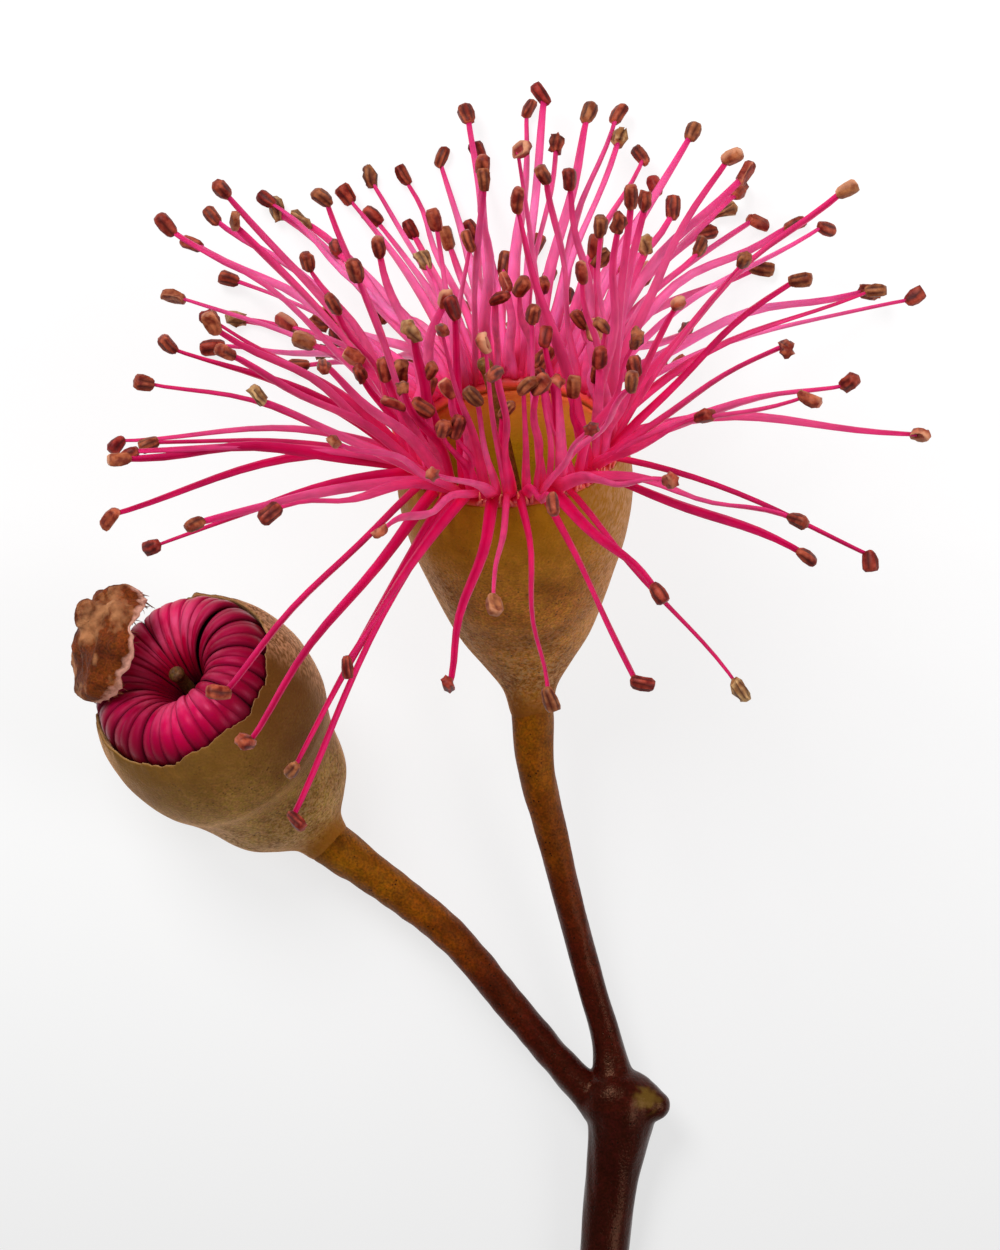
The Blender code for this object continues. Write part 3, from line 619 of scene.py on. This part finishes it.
def thread_material():
    """Silky magenta thread, some deep and some pale, the back ones paler as painted backlight, red and
    translucent at the root, with pale edges as painted rim light and a painted glow.
    """
    material, tree, surface = new_material(
        "stamen_pink", Roughness=0.4, Subsurface_Weight=0.3, Subsurface_Scale=0.5 * MM,
        Subsurface_Radius=(1.0, 0.2, 0.45), Specular_IOR_Level=0.08, Specular_Tint=colour(255, 150, 190),
        Emission_Strength=0.26)
    along = attribute(tree, "along")
    own = attribute(tree, "own")
    pale = tints(tree, along, (0.0, 242, 36, 82), (0.12, 244, 102, 166), (0.5, 248, 126, 182),
                 (1.0, 222, 24, 108))
    deep = tints(tree, along, (0.0, 216, 4, 56), (0.12, 204, 0, 74), (0.6, 182, 0, 66), (1.0, 180, 0, 66))
    # Deep to pale by the thread's own value: partly random tone, partly painted backlight that makes the
    # back threads paler.
    body = mix(tree, mask(tree, own, (0.12, 0), (0.88, 1)), deep, pale)
    # Painted rim light: each thread's two edges mixed towards pale pink.
    body = mix(tree, times(tree, attribute(tree, "mark"), 0.3), body, colour(250, 80, 154))
    streaks = clouds(tree, along_thread(tree, 53.0, 9.0, 1.0), 1.0)
    body = mix(tree, 1.0, body, mask(tree, streaks, (0.32, 0.78), (0.70, 1.08)), "MULTIPLY")
    # Painted glow: emission in the thread's colour, strongest on the deep near threads and faint on the
    # pale ones.
    painted_glow = mask(tree, own, (0.0, 0.3), (0.15, 1.0), (0.5, 0.7), (1.0, 0.15))
    tree.links.new(mix(tree, 1.0, body, painted_glow, "MULTIPLY"), surface.inputs["Emission Color"])
    dress(tree, surface, body)
    return material


def anther_material():
    """Dry sacs from brick red to tan, with furrows darkened as painted shade and pale split edges."""
    material, tree, surface = new_material("anther_brown", Roughness=0.5, Specular_IOR_Level=0.2)
    cloud = clouds(tree, millimetres(tree), 2.2, 4.0)
    own = attribute(tree, "own")
    light = tints(tree, own, (0.0, 172, 56, 46), (0.6, 196, 100, 66), (0.88, 178, 116, 70),
                  (1.0, 214, 166, 112))
    dark = tints(tree, own, (0.0, 112, 10, 14), (0.6, 128, 38, 22), (0.9, 122, 60, 30), (1.0, 154, 98, 54))
    body = mix(tree, mask(tree, cloud, (0.38, 0), (0.64, 1)), dark, light)
    mark = attribute(tree, "mark")
    body = mix(tree, mask(tree, mark, (0.55, 0), (1.0, 1)), body, colour(232, 160, 122))
    # Painted shade: the furrows between the ribs darkened towards deep red-black.
    furrow_shade = mask(tree, mark, (0.0, 1), (0.45, 0))
    body = mix(tree, times(tree, furrow_shade, 0.9), body, colour(58, 10, 10))
    dress(tree, surface, body, cloud, 0.5, 0.1)
    return material


def ring_material():
    """Cup coloured at its outer foot, orange above, crimson on its crest, its teeth pale at their tips."""
    material, tree, surface = new_material("stamen_ring", Roughness=0.45, Subsurface_Weight=0.15,
                                           Subsurface_Scale=0.4 * MM)
    dress(tree, surface, tints(tree, attribute(tree, "along"), (0.0, 176, 108, 40), (0.25, 240, 84, 60),
                               (0.5, 206, 8, 64), (0.7, 246, 88, 84), (1.0, 255, 150, 116)))
    return material


def cup_material(name, light, dark, top, foot, lining, streak_turn):
    """Tan specked skin, tinted at top and foot, with a band of painted shade on its right, pale fuzzy
    streaks there that are partly painted sheen, crusted in places, its lining read by depth.
    """
    material, tree, surface = new_material(
        name, Roughness=0.6, Sheen_Weight=0.6, Sheen_Roughness=0.3, Sheen_Tint=colour(244, 184, 136),
        Specular_IOR_Level=0.1, Specular_Tint=colour(255, 206, 150))
    where = millimetres(tree)
    body, height = skin(tree, where, light, dark, (58, 38, 14), 0.5, 0.9)
    depth = swayed(tree, attribute(tree, "down"), clouds(tree, where, 1.1, 3.0), 0.12)
    body = mix(tree, mask(tree, depth, (0.02, 0.85), (0.42, 0)), body, colour(*top))
    body = mix(tree, mask(tree, depth, (0.84, 0), (1.0, 1)), body, colour(*foot))
    # Painted shade: the band marked on the cup's right darkened.
    body = mix(tree, times(tree, attribute(tree, "painted_shade"), 0.7), body, colour(84, 42, 12))
    crust = clouds(tree, where, 4.5, 5.0, 0.7)
    low = mask(tree, depth, (0.45, 0), (0.85, 0.6), (0.97, 0))
    low = calculate(tree, "MAXIMUM", low, attribute(tree, "crust"))
    flakes = times(tree, low, mask(tree, crust, (0.46, 0), (0.62, 1)))
    pits = times(tree, low, mask(tree, crust, (0.38, 1), (0.47, 0)))
    body = mix(tree, flakes, body, colour(190, 150, 108))
    body = mix(tree, pits, body, colour(64, 38, 16))
    along_cup = add_node(tree, "ShaderNodeMapping", {"Vector": where, "Scale": (6.5, 2.2, 6.5),
                         "Rotation": (0, 0, streak_turn)}).outputs[0]
    # Pale fuzzy streaks on the cup's right: partly the skin's fuzz, partly painted sheen on that side.
    fuzz_and_sheen = mask(tree, clouds(tree, along_cup, 1.0, 4.0), (0.42, 0.1), (0.62, 1))
    fuzz_and_sheen = times(tree, times(tree, fuzz_and_sheen, attribute(tree, "edge")), 0.75)
    body = mix(tree, fuzz_and_sheen, body, colour(206, 150, 108))
    body = mix(tree, attribute(tree, "inner"), body, tints(tree, depth, *lining))
    dress(tree, surface, body, height, 0.45, 0.14)
    return material


def twig_material():
    """Olive orange near the flowers, red brown below and dark glossy maroon at the stem."""
    material, tree, surface = new_material("twig_skin", Specular_IOR_Level=0.2,
                                           Specular_Tint=colour(255, 190, 150))
    where = millimetres(tree)
    older = swayed(tree, attribute(tree, "age"), clouds(tree, where, 0.5, 3.0), 0.22)
    tint = tints(tree, older, (0.0, 152, 96, 8), (0.22, 134, 72, 4), (0.42, 96, 36, 3), (0.62, 70, 16, 5),
                 (0.85, 50, 11, 7))
    mottled, height = skin(tree, where, (255, 252, 248), (190, 172, 160), (56, 28, 14), 0.9, 0.8)
    body = mix(tree, 1.0, tint, mottled, "MULTIPLY")
    body = mix(tree, attribute(tree, "mark"), body, colour(96, 70, 26))
    shine = mask(tree, older, (0.0, 0.55), (0.5, 0.42), (0.8, 0.26))
    tree.links.new(shine, surface.inputs["Roughness"])
    dress(tree, surface, body, height, 0.45, 0.12)
    return material


def fold_material():
    """Crimson silk of the bud's folded stamens, with painted highlights streaked on the crests and painted
    shade towards pit and rim, in the creases and on the folds at the bud's left and right.
    """
    material, tree, surface = new_material(
        "bud_crimson", Subsurface_Weight=0.1, Subsurface_Scale=0.4 * MM, Specular_IOR_Level=0.3,
        Specular_Tint=colour(255, 140, 180))
    along = attribute(tree, "along")
    own = attribute(tree, "own")
    mark = attribute(tree, "mark")
    # Painted shade: dark at the rim end, brightest on the roll, darkest into the pit.
    body = tints(tree, along, (0.0, 34, 0, 8), (0.20, 90, 0, 26), (0.32, 178, 0, 58), (0.50, 232, 8, 92),
                 (0.68, 222, 0, 70), (0.82, 168, 0, 40), (0.92, 74, 0, 14), (1.0, 18, 0, 3))
    # Painted shade: the folds whose own value is high, chiefly those on the bud's left and right,
    # darkened.
    body = mix(tree, times(tree, own, 0.8), body, colour(104, 0, 24))
    # Painted highlights: pale pink streaks along the crests, fainter on the shaded folds.
    highlight_streaks = clouds(tree, along_thread(tree, 47.0, 5.0, 2.0), 1.0, 3.0)
    crest = mask(tree, along, (0.40, 0), (0.56, 1), (0.68, 1), (0.80, 0))
    crest_highlight = times(tree, mask(tree, highlight_streaks, (0.40, 0), (0.60, 0.7)), crest)
    crest_highlight = times(tree, crest_highlight, mask(tree, own, (0.1, 1), (0.8, 0.25)))
    body = mix(tree, crest_highlight, body, colour(248, 96, 146))
    # Painted shade in the creases: each fold's two edges darkened.
    body = mix(tree, times(tree, mark, 0.8), body, colour(64, 0, 14))
    tree.links.new(mask(tree, mark, (0.0, 0.30), (0.4, 0.9)), surface.inputs["Roughness"])
    dress(tree, surface, body)
    return material


def style_material(name, light, dark):
    """Waxy stalk, faintly mottled."""
    material, tree, surface = new_material(name, Roughness=0.5, Subsurface_Weight=0.1,
                                           Subsurface_Scale=0.4 * MM, Specular_IOR_Level=0.2)
    body, height = skin(tree, millimetres(tree), light, dark, (50, 30, 14), 1.4, 0.4)
    dress(tree, surface, body, height, 0.4, 0.1)
    return material


def husk_material():
    """Dry brown cap with pale tan patches as painted highlights, and pale pink at its torn edge."""
    material, tree, surface = new_material("husk", Roughness=0.65, Specular_IOR_Level=0.1)
    where = millimetres(tree)
    body, height = skin(tree, where, (136, 64, 18), (66, 20, 4), (54, 26, 10), 0.7, 0.5)
    # Painted highlights: pale tan patches laid by noise.
    tan_highlight = mask(tree, clouds(tree, where, 0.6, 3.0, 0.55), (0.52, 0), (0.72, 0.9))
    body = mix(tree, tan_highlight, body, colour(212, 146, 98))
    ragged = swayed(tree, attribute(tree, "mark"), clouds(tree, where, 1.8, 3.0), 1.2)
    body = mix(tree, mask(tree, ragged, (0.55, 0), (0.95, 1)), body, colour(226, 168, 146))
    dress(tree, surface, body, height, 0.8, 0.2)
    return material


# The picture's setting

def make_camera():
    camera = add_object("camera", bpy.data.cameras.new("camera"))
    camera.data.sensor_width = SENSOR
    camera.data.lens = SENSOR * CAMERA_ABOVE / PICTURE_HEIGHT
    camera.data.clip_start = 0.01
    camera.location = (PICTURE_MIDDLE[0] * MM, PICTURE_MIDDLE[1] * MM, (CAMERA_ABOVE + RIM_HEIGHT) * MM)
    bpy.context.scene.camera = camera


def make_floor():
    mesh = bpy.data.meshes.new("table")
    shape = bmesh.new()
    bmesh.ops.create_grid(shape, x_segments=1, y_segments=1, size=TABLE_HALF)
    shape.to_mesh(mesh)
    shape.free()
    floor = add_object("table", mesh)
    # Painted light: the table glows, its emission graded from grey towards -Y to white towards +Y, keeping
    # it bright, washing out shadows and lighting the flower from below.
    material, tree, surface = new_material("table_glowing", Base_Color=(0.20, 0.20, 0.20, 1), Roughness=0.7,
                                           Specular_IOR_Level=0.2, Emission_Strength=1)
    up_picture = add_node(tree, "ShaderNodeSeparateXYZ", {"Vector": millimetres(tree)}).outputs["Y"]
    share = calculate(tree, "ADD", times(tree, up_picture, 1 / FLOOR_FADE), 0.5, True)
    tree.links.new(mask(tree, share, *FLOOR_GLOW), surface.inputs["Emission Color"])
    mesh.materials.append(material)


def add_light(name, place, power):
    data = bpy.data.lights.new(name, "AREA")
    data.shape = "DISK"
    data.size = LIGHT_SIZE
    data.energy = power
    light = add_object(name, data)
    light.location = place
    light.rotation_euler = (Vector(LIGHTS_AIM) - Vector(place)).to_track_quat("-Z", "Y").to_euler()


def make_lights():
    world = bpy.data.worlds.new("studio")
    world.use_nodes = True
    background = world.node_tree.nodes["Background"]
    background.inputs["Color"].default_value = (1, 1, 1, 1)
    background.inputs["Strength"].default_value = SKY_STRENGTH
    bpy.context.scene.world = world
    for name, (place, power) in LIGHTS.items():
        add_light(name, place, power)
    bpy.context.scene.view_settings.view_transform = "Standard"


# Open flower

def hanging(stamen):
    """1 for a stamen that hangs over the ring's near side, 0 for one that stands."""
    around, spread = stamen[:2]
    return ease(0.2, 0.5, math.sin(around)) * ease(1.2, 1.5, spread)


def make_threads(material):
    rng = random.Random(3)
    threads = []
    for stamen in stamens():
        route = filament_route(stamen, THREAD_POINTS)
        route[-1] -= (route[-1] - route[-3]).normalized() * THREAD_SHORT
        broad = rng.uniform(0.85, 1.15)
        finer = smooth_through([width * broad * rng.uniform(0.95, 1.05) for width in THREAD_WIDTHS], 4)
        widths = [finer[round(step / (THREAD_POINTS - 1) * (len(finer) - 1))]
                  for step in range(THREAD_POINTS)]
        side = Quaternion(route[1] - route[0], stamen[-1] * 9) @ (route[1] - route[0]).orthogonal()
        # Paleness, carried as the thread's own value: partly random tone, partly painted backlight, paler
        # at the back and deeper where a thread hangs over the near side.
        behind = ease(0.3, -0.9, math.sin(stamen[0]))
        pale = (rng.random() * 0.45 + behind * 0.55) * (1 - 0.8 * hanging(stamen))
        twist = rng.uniform(-2.5, 2.5)
        threads.append(swept(route, widths, THREAD_FLATNESS, side.normalized(), twist, THREAD_SIDES, pale))
    return finish_piece(gather(threads), "stamen_threads", "flower_stamens", material)


def anther_shape(rng):
    """Ribbed sacs with creases between, squared at the ends; some split open or shrivelled."""
    shape = bmesh.new()
    mark, own = add_marks(shape, "mark", "own")
    bmesh.ops.create_uvsphere(shape, u_segments=12, v_segments=6, radius=1)
    kind = rng.random()
    split = 1.1 if kind > 0.86 else 0.5 if kind > 0.74 else 0.0
    shrivel = 0.5 if 0.64 < kind < 0.74 else 0.14
    ribs = rng.choice((2, 3, 3))
    crease_depth = rng.uniform(0.18, 0.34)
    flare = rng.uniform(0.0, 0.25)
    curl = rng.uniform(-0.4, 0.4)
    lot = min(1, rng.random() * 0.85 + (0.4 if shrivel > 0.2 else 0))
    length = ANTHER_LENGTH / 2 * rng.uniform(0.82, 1.08)
    width = ANTHER_WIDTH / 2 * rng.uniform(0.82, 1.05)
    seed = Vector((rng.random() * 50, 0, 0))
    for vert in shape.verts:
        x, y, z = vert.co
        from_line = math.hypot(x, y)
        crease = abs(math.cos(angle_of(vert.co) * ribs)) ** 4 * (1 - z ** 4) if from_line > 0.01 else 0.3
        reach = math.hypot(x, z * 0.9)
        hollow = split * math.exp(-(reach / 0.62) ** 4) if y > 0 else 0
        rim = math.exp(-((reach - 0.85) / 0.16) ** 2) * min(1, split) if y > -0.2 else 0
        fuller = max(from_line, 0.01) ** -0.4 * (1 + flare * z) * (1 - crease_depth * crease)
        rough = noise.noise_vector(vert.co * 1.6 + seed) * shrivel
        # mark: low in the creases, where the material paints shade, high on a split sac's rim.
        vert[mark] = 0.5 + 0.5 * rim - 0.5 * crease * (1 - min(1, split))
        vert[own] = lot
        vert.co = Vector((x * fuller * width,
                          (y * fuller * (1 - hollow) + 0.2 * rim) * width * 0.82 + curl * z * z * 0.2,
                          math.copysign(abs(z) ** 0.65, z) * length)) + rough * width
    return shape


def make_anthers(material):
    rng = random.Random(5)
    noise.seed_set(ANTHER_NOISE_SEED)
    anthers = []
    for stamen in stamens():
        route = filament_route(stamen, THREAD_POINTS)
        shape = anther_shape(rng)
        line = (route[-1] - route[-3]).normalized()
        aside = Quaternion(line, stamen[-1] * 40) @ line.orthogonal().normalized()
        tilt = rng.random() ** 1.5 * 1.3 + 1.4 * hanging(stamen)
        pointing = (line + aside * tilt).normalized()
        if route[-1].z < FLOOR_HEIGHT + 0.3:
            pointing.z = 0
        turn = pointing.to_track_quat("Z", "Y").to_matrix().to_4x4()
        turn = turn @ Matrix.Rotation(rng.uniform(0, 6.28), 4, "Z")
        middle = route[-1] + (pointing - line) * THREAD_SHORT
        bmesh.ops.transform(shape, matrix=Matrix.Translation(middle) @ turn, verts=shape.verts)
        anthers.append(shape)
    return finish_piece(gather(anthers), "anthers", "flower_stamens", material)


def make_ring(material):
    """The band that the stamens grow from, with small teeth between them."""
    rng = random.Random(8)
    band = turned(RING_PROFILE, 160)
    along, = add_marks(band, "along")
    for vert in band.verts:
        rough = ring_noise(angle_of(vert.co), 9, vert.co.z * 2)
        vert.co.z += 0.12 * rough * ease(0, 0.2, vert.co.z)
        reach = vert.co.xy.length
        inwards = ease(5.74, 5.6, reach) - ease(5.1, 4.95, reach)
        vert[along] = 0.25 * ease(-0.25, -0.05, vert.co.z) + 0.25 * inwards
    shapes = [band]
    for index in range(TEETH):
        around = math.tau * (index + rng.random() * 0.8) / TEETH
        outward = outward_at(around)
        foot = outward * rng.uniform(5.62, 5.78)
        lean = (outward * rng.uniform(0.1, 0.5) + Vector((0, 0, 1))).normalized()
        swerve = Vector((-outward.y, outward.x, 0)) * rng.uniform(-0.35, 0.35)
        height = rng.uniform(0.5, 1.1)
        route = spike_route(foot, lean, height, swerve)
        tooth = swept(route, TOOTH_WIDTHS, 0.7, outward.cross(lean).normalized(), 0, 6)
        along = tooth.verts.layers.float["along"]
        for vert in tooth.verts:
            vert[along] = 0.6 + 0.4 * vert[along]
        shapes.append(tooth)
    return finish_piece(gather(shapes), "stamen_ring", "flower_stamens", material, HEAD)


def cup_shape(inside, outside, sides, rough):
    """A hollow cup turned from its inner and outer profiles, its lining and every point's depth marked."""
    lining = [Vector(point) for point in smooth_profile(inside, 5)]
    walls = smooth_profile(inside, 5) + smooth_profile(outside, 5)
    shape = turned(walls + [(0.0, outside[-1][1])], sides)
    down, inner = add_marks(shape, "down", "inner")
    depth_of_cup = -outside[-1][1]
    for vert in shape.verts:
        here = Vector((vert.co.xy.length, vert.co.z))
        vert[inner] = 1.0 if min((here - point).length for point in lining) < 0.02 else 0.0
        vert[down] = -vert.co.z / depth_of_cup
        sway = noise.noise(Vector((vert.co.x * 0.28, vert.co.y * 0.28, vert.co.z * 0.3)))
        ridge = ring_noise(angle_of(vert.co), 5, vert.co.z * 0.12)
        vert.co.xy *= 1 + rough * (0.6 * sway + 0.4 * ridge) * ease(0.3, 2.5, -vert.co.z)
    return shape


def mark_side(shape, fuzz_and_sheen_from, shade_amount):
    """Mark the cup's right as its fuzzy side, its fuzz partly painted sheen, with a band of painted shade
    by it, and its lower left as crusted.
    """
    edge, crust, painted_shade = add_marks(shape, "edge", "crust", "painted_shade")
    for vert in shape.verts:
        height = vert.co.z
        leftward = vert.co.x / max(0.5, vert.co.xy.length)
        # Pale fuzz on the right, partly painted sheen.
        vert[edge] = ease(fuzz_and_sheen_from, 0.95, -leftward) * ease(-13, -9, height)
        vert[crust] = ease(0.4, 0.95, leftward) * ease(-2.5, -7, height) * ease(-13.5, -12, height)
        # A band of painted shade beside the fuzzy side.
        vert[painted_shade] = shade_amount * ease(-0.35, 0.4, -leftward) * ease(-9.5, -5, height)


def make_flower_cup(material):
    shape = cup_shape(CUP_INSIDE, CUP_LIP + CUP_OUTSIDE + CUP_FOOT, CUP_SIDES, CUP_ROUGH)
    bend(shape, CUP_BEND_FROM, CUP_BEND, CUP_BEND_FROM - CUP_OUTSIDE[-1][1])
    mark_side(shape, 0.45, 0.15)
    return finish_piece(shape, "flower_cup_skin", "flower_cup", material, HEAD)


def make_flower_style(material):
    shape = turned(smooth_profile(FLOWER_STYLE, 3), 32)
    for vert in shape.verts:
        reach = max(0, vert.co.z - FLOWER_STYLE[-1][1]) / 10
        vert.co.x += STYLE_SWAY[0] * reach ** 2
        vert.co.y += STYLE_SWAY[1] * reach ** 2
    return finish_piece(shape, "flower_style_skin", "flower_style", material, HEAD)


# Bud

def make_bud_cup(material):
    outside = BUD_LIP[1:] + BUD_OUTSIDE[1:-1] + BUD_FOOT
    shape = cup_shape(BUD_INSIDE[:-1] + BUD_LIP[:1], outside, BUD_CUP_SIDES, BUD_CUP_ROUGH)
    for vert in shape.verts:
        around = angle_of(vert.co)
        if vert.co.z > -1.0:
            torn = 0.18 * math.sin(around * 5 + 1) + 0.12 * math.sin(around * 13)
            torn += 0.22 * ring_noise(around, 14, 3) + 0.12 * ring_noise(around, 40, 7)
            vert.co.z += torn * ease(-1.0, -0.05, vert.co.z)
    bend(shape, BUD_BEND_FROM, BUD_BEND, BUD_BEND_FROM - BUD_OUTSIDE[-1][1])
    mark_side(shape, 0.75, 1.0)
    return finish_piece(shape, "bud_cup_skin", "bud_cup", material, BUD)


def make_folds(material):
    """Each folded stamen rises from the rim, rolls over and dives into the pit."""
    rng = random.Random(21)
    folds = []
    route_flat = smooth_profile(FOLD_ROUTE, 3)
    for index in range(FOLDS):
        around = math.tau * (index + rng.uniform(-0.28, 0.28)) / FOLDS
        swirl = rng.uniform(-0.10, 0.18)
        lift = rng.uniform(-0.12, 0.14)
        broad = rng.uniform(0.92, 1.2)
        route, widths = [], []
        for step, (radius, height) in enumerate(route_flat):
            share = step / (len(route_flat) - 1)
            outward = outward_at(around + swirl * share ** 2)
            route.append(outward * radius + Vector((0, 0, height + lift)))
            widths.append(max(0.24, min(0.86, math.tau * radius / FOLDS * FOLD_OVERLAP)) * broad)
        outward = outward_at(around)
        # Painted shade: a fold's own value is a quarter random tone and three quarters shade, high on the
        # bud's left and right as seen from above.
        facing = BUD.to_3x3() @ outward
        shade = max(ease(0.2, 0.8, -facing.x * 0.8 - facing.y * 0.35), 0.9 * ease(0.25, 0.7, facing.x))
        side = Vector((-outward.y, outward.x, 0))
        folds.append(swept(route, widths, 0.5, side, 0, 12, 0.25 * rng.random() + 0.75 * shade))
    folds.append(turned(FOLD_CORE, 64))
    return finish_piece(gather(folds), "bud_folds", "bud_stamens", material, BUD)


def make_bud_style(material):
    shape = turned(smooth_profile(BUD_STYLE, 3), 28)
    return finish_piece(shape, "bud_style_skin", "bud_style", material, BUD)


def cap_tear(around):
    return sum(height * math.sin(around * number + start) for height, number, start in CAP_TEAR)


def make_bud_cap(material):
    shape = turned(smooth_profile(CAP_INSIDE, 6) + smooth_profile(CAP_OUTSIDE, 6), 96)
    mark, = add_marks(shape, "mark")
    for vert in shape.verts:
        around = angle_of(vert.co)
        vert[mark] = ease(0.9, 0.0, vert.co.z)
        torn = cap_tear(around) + 0.35 * ring_noise(around, 8, 1)
        crumple = noise.noise(vert.co * 0.8) * 0.4 + noise.noise(vert.co * 2.3) * 0.12
        crumple += ring_noise(around, 2.6, 5) * 0.15
        crumple *= 1 - 0.7 * ease(1.6, 2.1, vert.co.z)
        vert.co.x -= CAP_KNOB_SHIFT * ease(0.7, 2.2, vert.co.z)
        vert.co.z += torn * ease(0.9, 0.0, vert.co.z) + crumple * ease(0, 0.8, vert.co.z)
        vert.co.xy *= 1 + crumple * 0.15
    return finish_piece(shape, "bud_cap_husk", "bud_cap", material, CAP)


def make_cap_fringe(material):
    """Torn fibres along the cap's open edge."""
    rng = random.Random(31)
    highlight_streaks = []
    for index in range(FIBRES):
        around = math.tau * rng.random()
        outward = outward_at(around)
        foot = outward * rng.uniform(2.75, 3.0) + Vector((0, 0, cap_tear(around) + 0.1))
        lean = Vector((0, 0, -1)) + outward * rng.uniform(-0.5, 0.3)
        lean += Vector((-outward.y, outward.x, 0)) * rng.uniform(-0.6, 0.6)
        length = rng.uniform(0.15, 0.6) * (2.2 if index % 12 == 0 else 1)
        curl = Vector((rng.uniform(-1, 1), rng.uniform(-1, 1), rng.uniform(-1, 1))) * 0.2
        route = spike_route(foot, lean.normalized(), length, curl)
        width = rng.uniform(0.05, 0.14)
        highlight_streaks.append(swept(route, [width, width * 0.8, width * 0.5, width * 0.2], 0.4, outward, 0, 5))
    return finish_piece(gather(highlight_streaks), "cap_fringe", "bud_cap", material, CAP)


# Twig

def twig_tube(stations, sink=0.0):
    """A tube through the stations, drawn on a little past the last one."""
    places = [in_plan(place) for place, width in stations]
    ahead = (places[-1] - places[-2]).normalized()
    route = smooth_through(places + [places[-1] + ahead * max(sink, 0.05)], 5)
    widths = smooth_through([width for place, width in stations] + [stations[-1][1]], 5)
    return swept(route, widths, 1.0, Vector((0, 0, 1)), 0, 24)


def ball(place, radius, stretch):
    shape = bmesh.new()
    bmesh.ops.create_uvsphere(shape, u_segments=24, v_segments=16, radius=radius)
    bmesh.ops.scale(shape, vec=stretch, verts=shape.verts)
    bmesh.ops.translate(shape, vec=in_plan(place), verts=shape.verts)
    return shape


def grown_together(shape, voxel):
    """Closed shapes that pass through each other, remeshed as one skin."""
    bmesh.ops.scale(shape, vec=(MM, MM, MM), verts=shape.verts)
    mesh = bpy.data.meshes.new("grown")
    shape.to_mesh(mesh)
    shape.free()
    item = add_object("grown", mesh)
    remesh = item.modifiers.new("remesh", "REMESH")
    remesh.mode = "VOXEL"
    remesh.voxel_size = voxel * MM
    bpy.context.view_layer.update()
    graph = bpy.context.evaluated_depsgraph_get()
    result = bpy.data.meshes.new_from_object(item.evaluated_get(graph))
    bpy.data.objects.remove(item, do_unlink=True)
    bpy.data.meshes.remove(mesh)
    skin_shape = bmesh.new()
    skin_shape.from_mesh(result)
    bpy.data.meshes.remove(result)
    bmesh.ops.scale(skin_shape, vec=(1 / MM, 1 / MM, 1 / MM), verts=skin_shape.verts)
    return skin_shape


def make_twig(material):
    parts = [twig_tube(PEDUNCLE), twig_tube(FLOWER_PEDICEL, SINK), twig_tube(BUD_PEDICEL, SINK)]
    parts += [ball(place, radius, stretch) for place, radius, stretch in TWIG_BALLS]
    shape = grown_together(gather(parts), TWIG_VOXEL)
    for again in range(TWIG_SMOOTHINGS):
        bmesh.ops.smooth_vert(shape, verts=shape.verts, factor=0.5, use_axis_x=True, use_axis_y=True,
                              use_axis_z=True)
    age, mark = add_marks(shape, "age", "mark")
    knuckle = in_plan(KNUCKLE_PLACE)
    scar = in_plan(SCAR_PLACE) + Vector(SCAR_FACE)
    for vert in shape.verts:
        away = (vert.co - knuckle).length
        above = vert.co.y > knuckle.y - 0.5
        beside = math.atan2(knuckle.x - vert.co.x, max(0.1, vert.co.y - knuckle.y))
        young = 0.68 + 0.12 * ease(0.35, 0.6, beside)
        vert[age] = 0.80 - young * ease(0, 21, away) if above else 0.80 + 0.2 * ease(0, 3, away)
        vert[mark] = ease(0.85, 0.3, (vert.co - scar).length + 0.4 * noise.noise(vert.co * 3))
        wrinkle = noise.noise(Vector((vert.co.x * 1.6, vert.co.y * 0.35, vert.co.z * 1.6)))
        vert.co += vert.normal * wrinkle * 0.05
    return finish_piece(shape, "twig_skin", "twig", material)


def main():
    make_camera()
    make_floor()
    make_lights()
    make_threads(thread_material())
    make_anthers(anther_material())
    make_ring(ring_material())
    make_flower_cup(cup_material(
        "flower_cup_skin", (188, 120, 44), (116, 58, 10), (184, 122, 14), (126, 72, 22),
        [(0.02, 244, 116, 66), (0.07, 230, 150, 54), (0.2, 186, 138, 20), (0.40, 122, 102, 10)], 0.3))
    make_flower_style(style_material("style_green", (150, 104, 46), (100, 66, 24)))
    make_bud_cup(cup_material(
        "bud_cup_skin", (172, 130, 66), (108, 70, 24), (120, 82, 34), (146, 86, 20),
        [(-0.02, 190, 146, 96), (0.02, 140, 92, 50), (0.06, 60, 14, 10)], -0.7))
    make_folds(fold_material())
    make_bud_style(style_material("style_brown", (112, 78, 40), (70, 40, 22)))
    husk = husk_material()
    make_bud_cap(husk)
    make_cap_fringe(husk)
    make_twig(twig_material())


main()
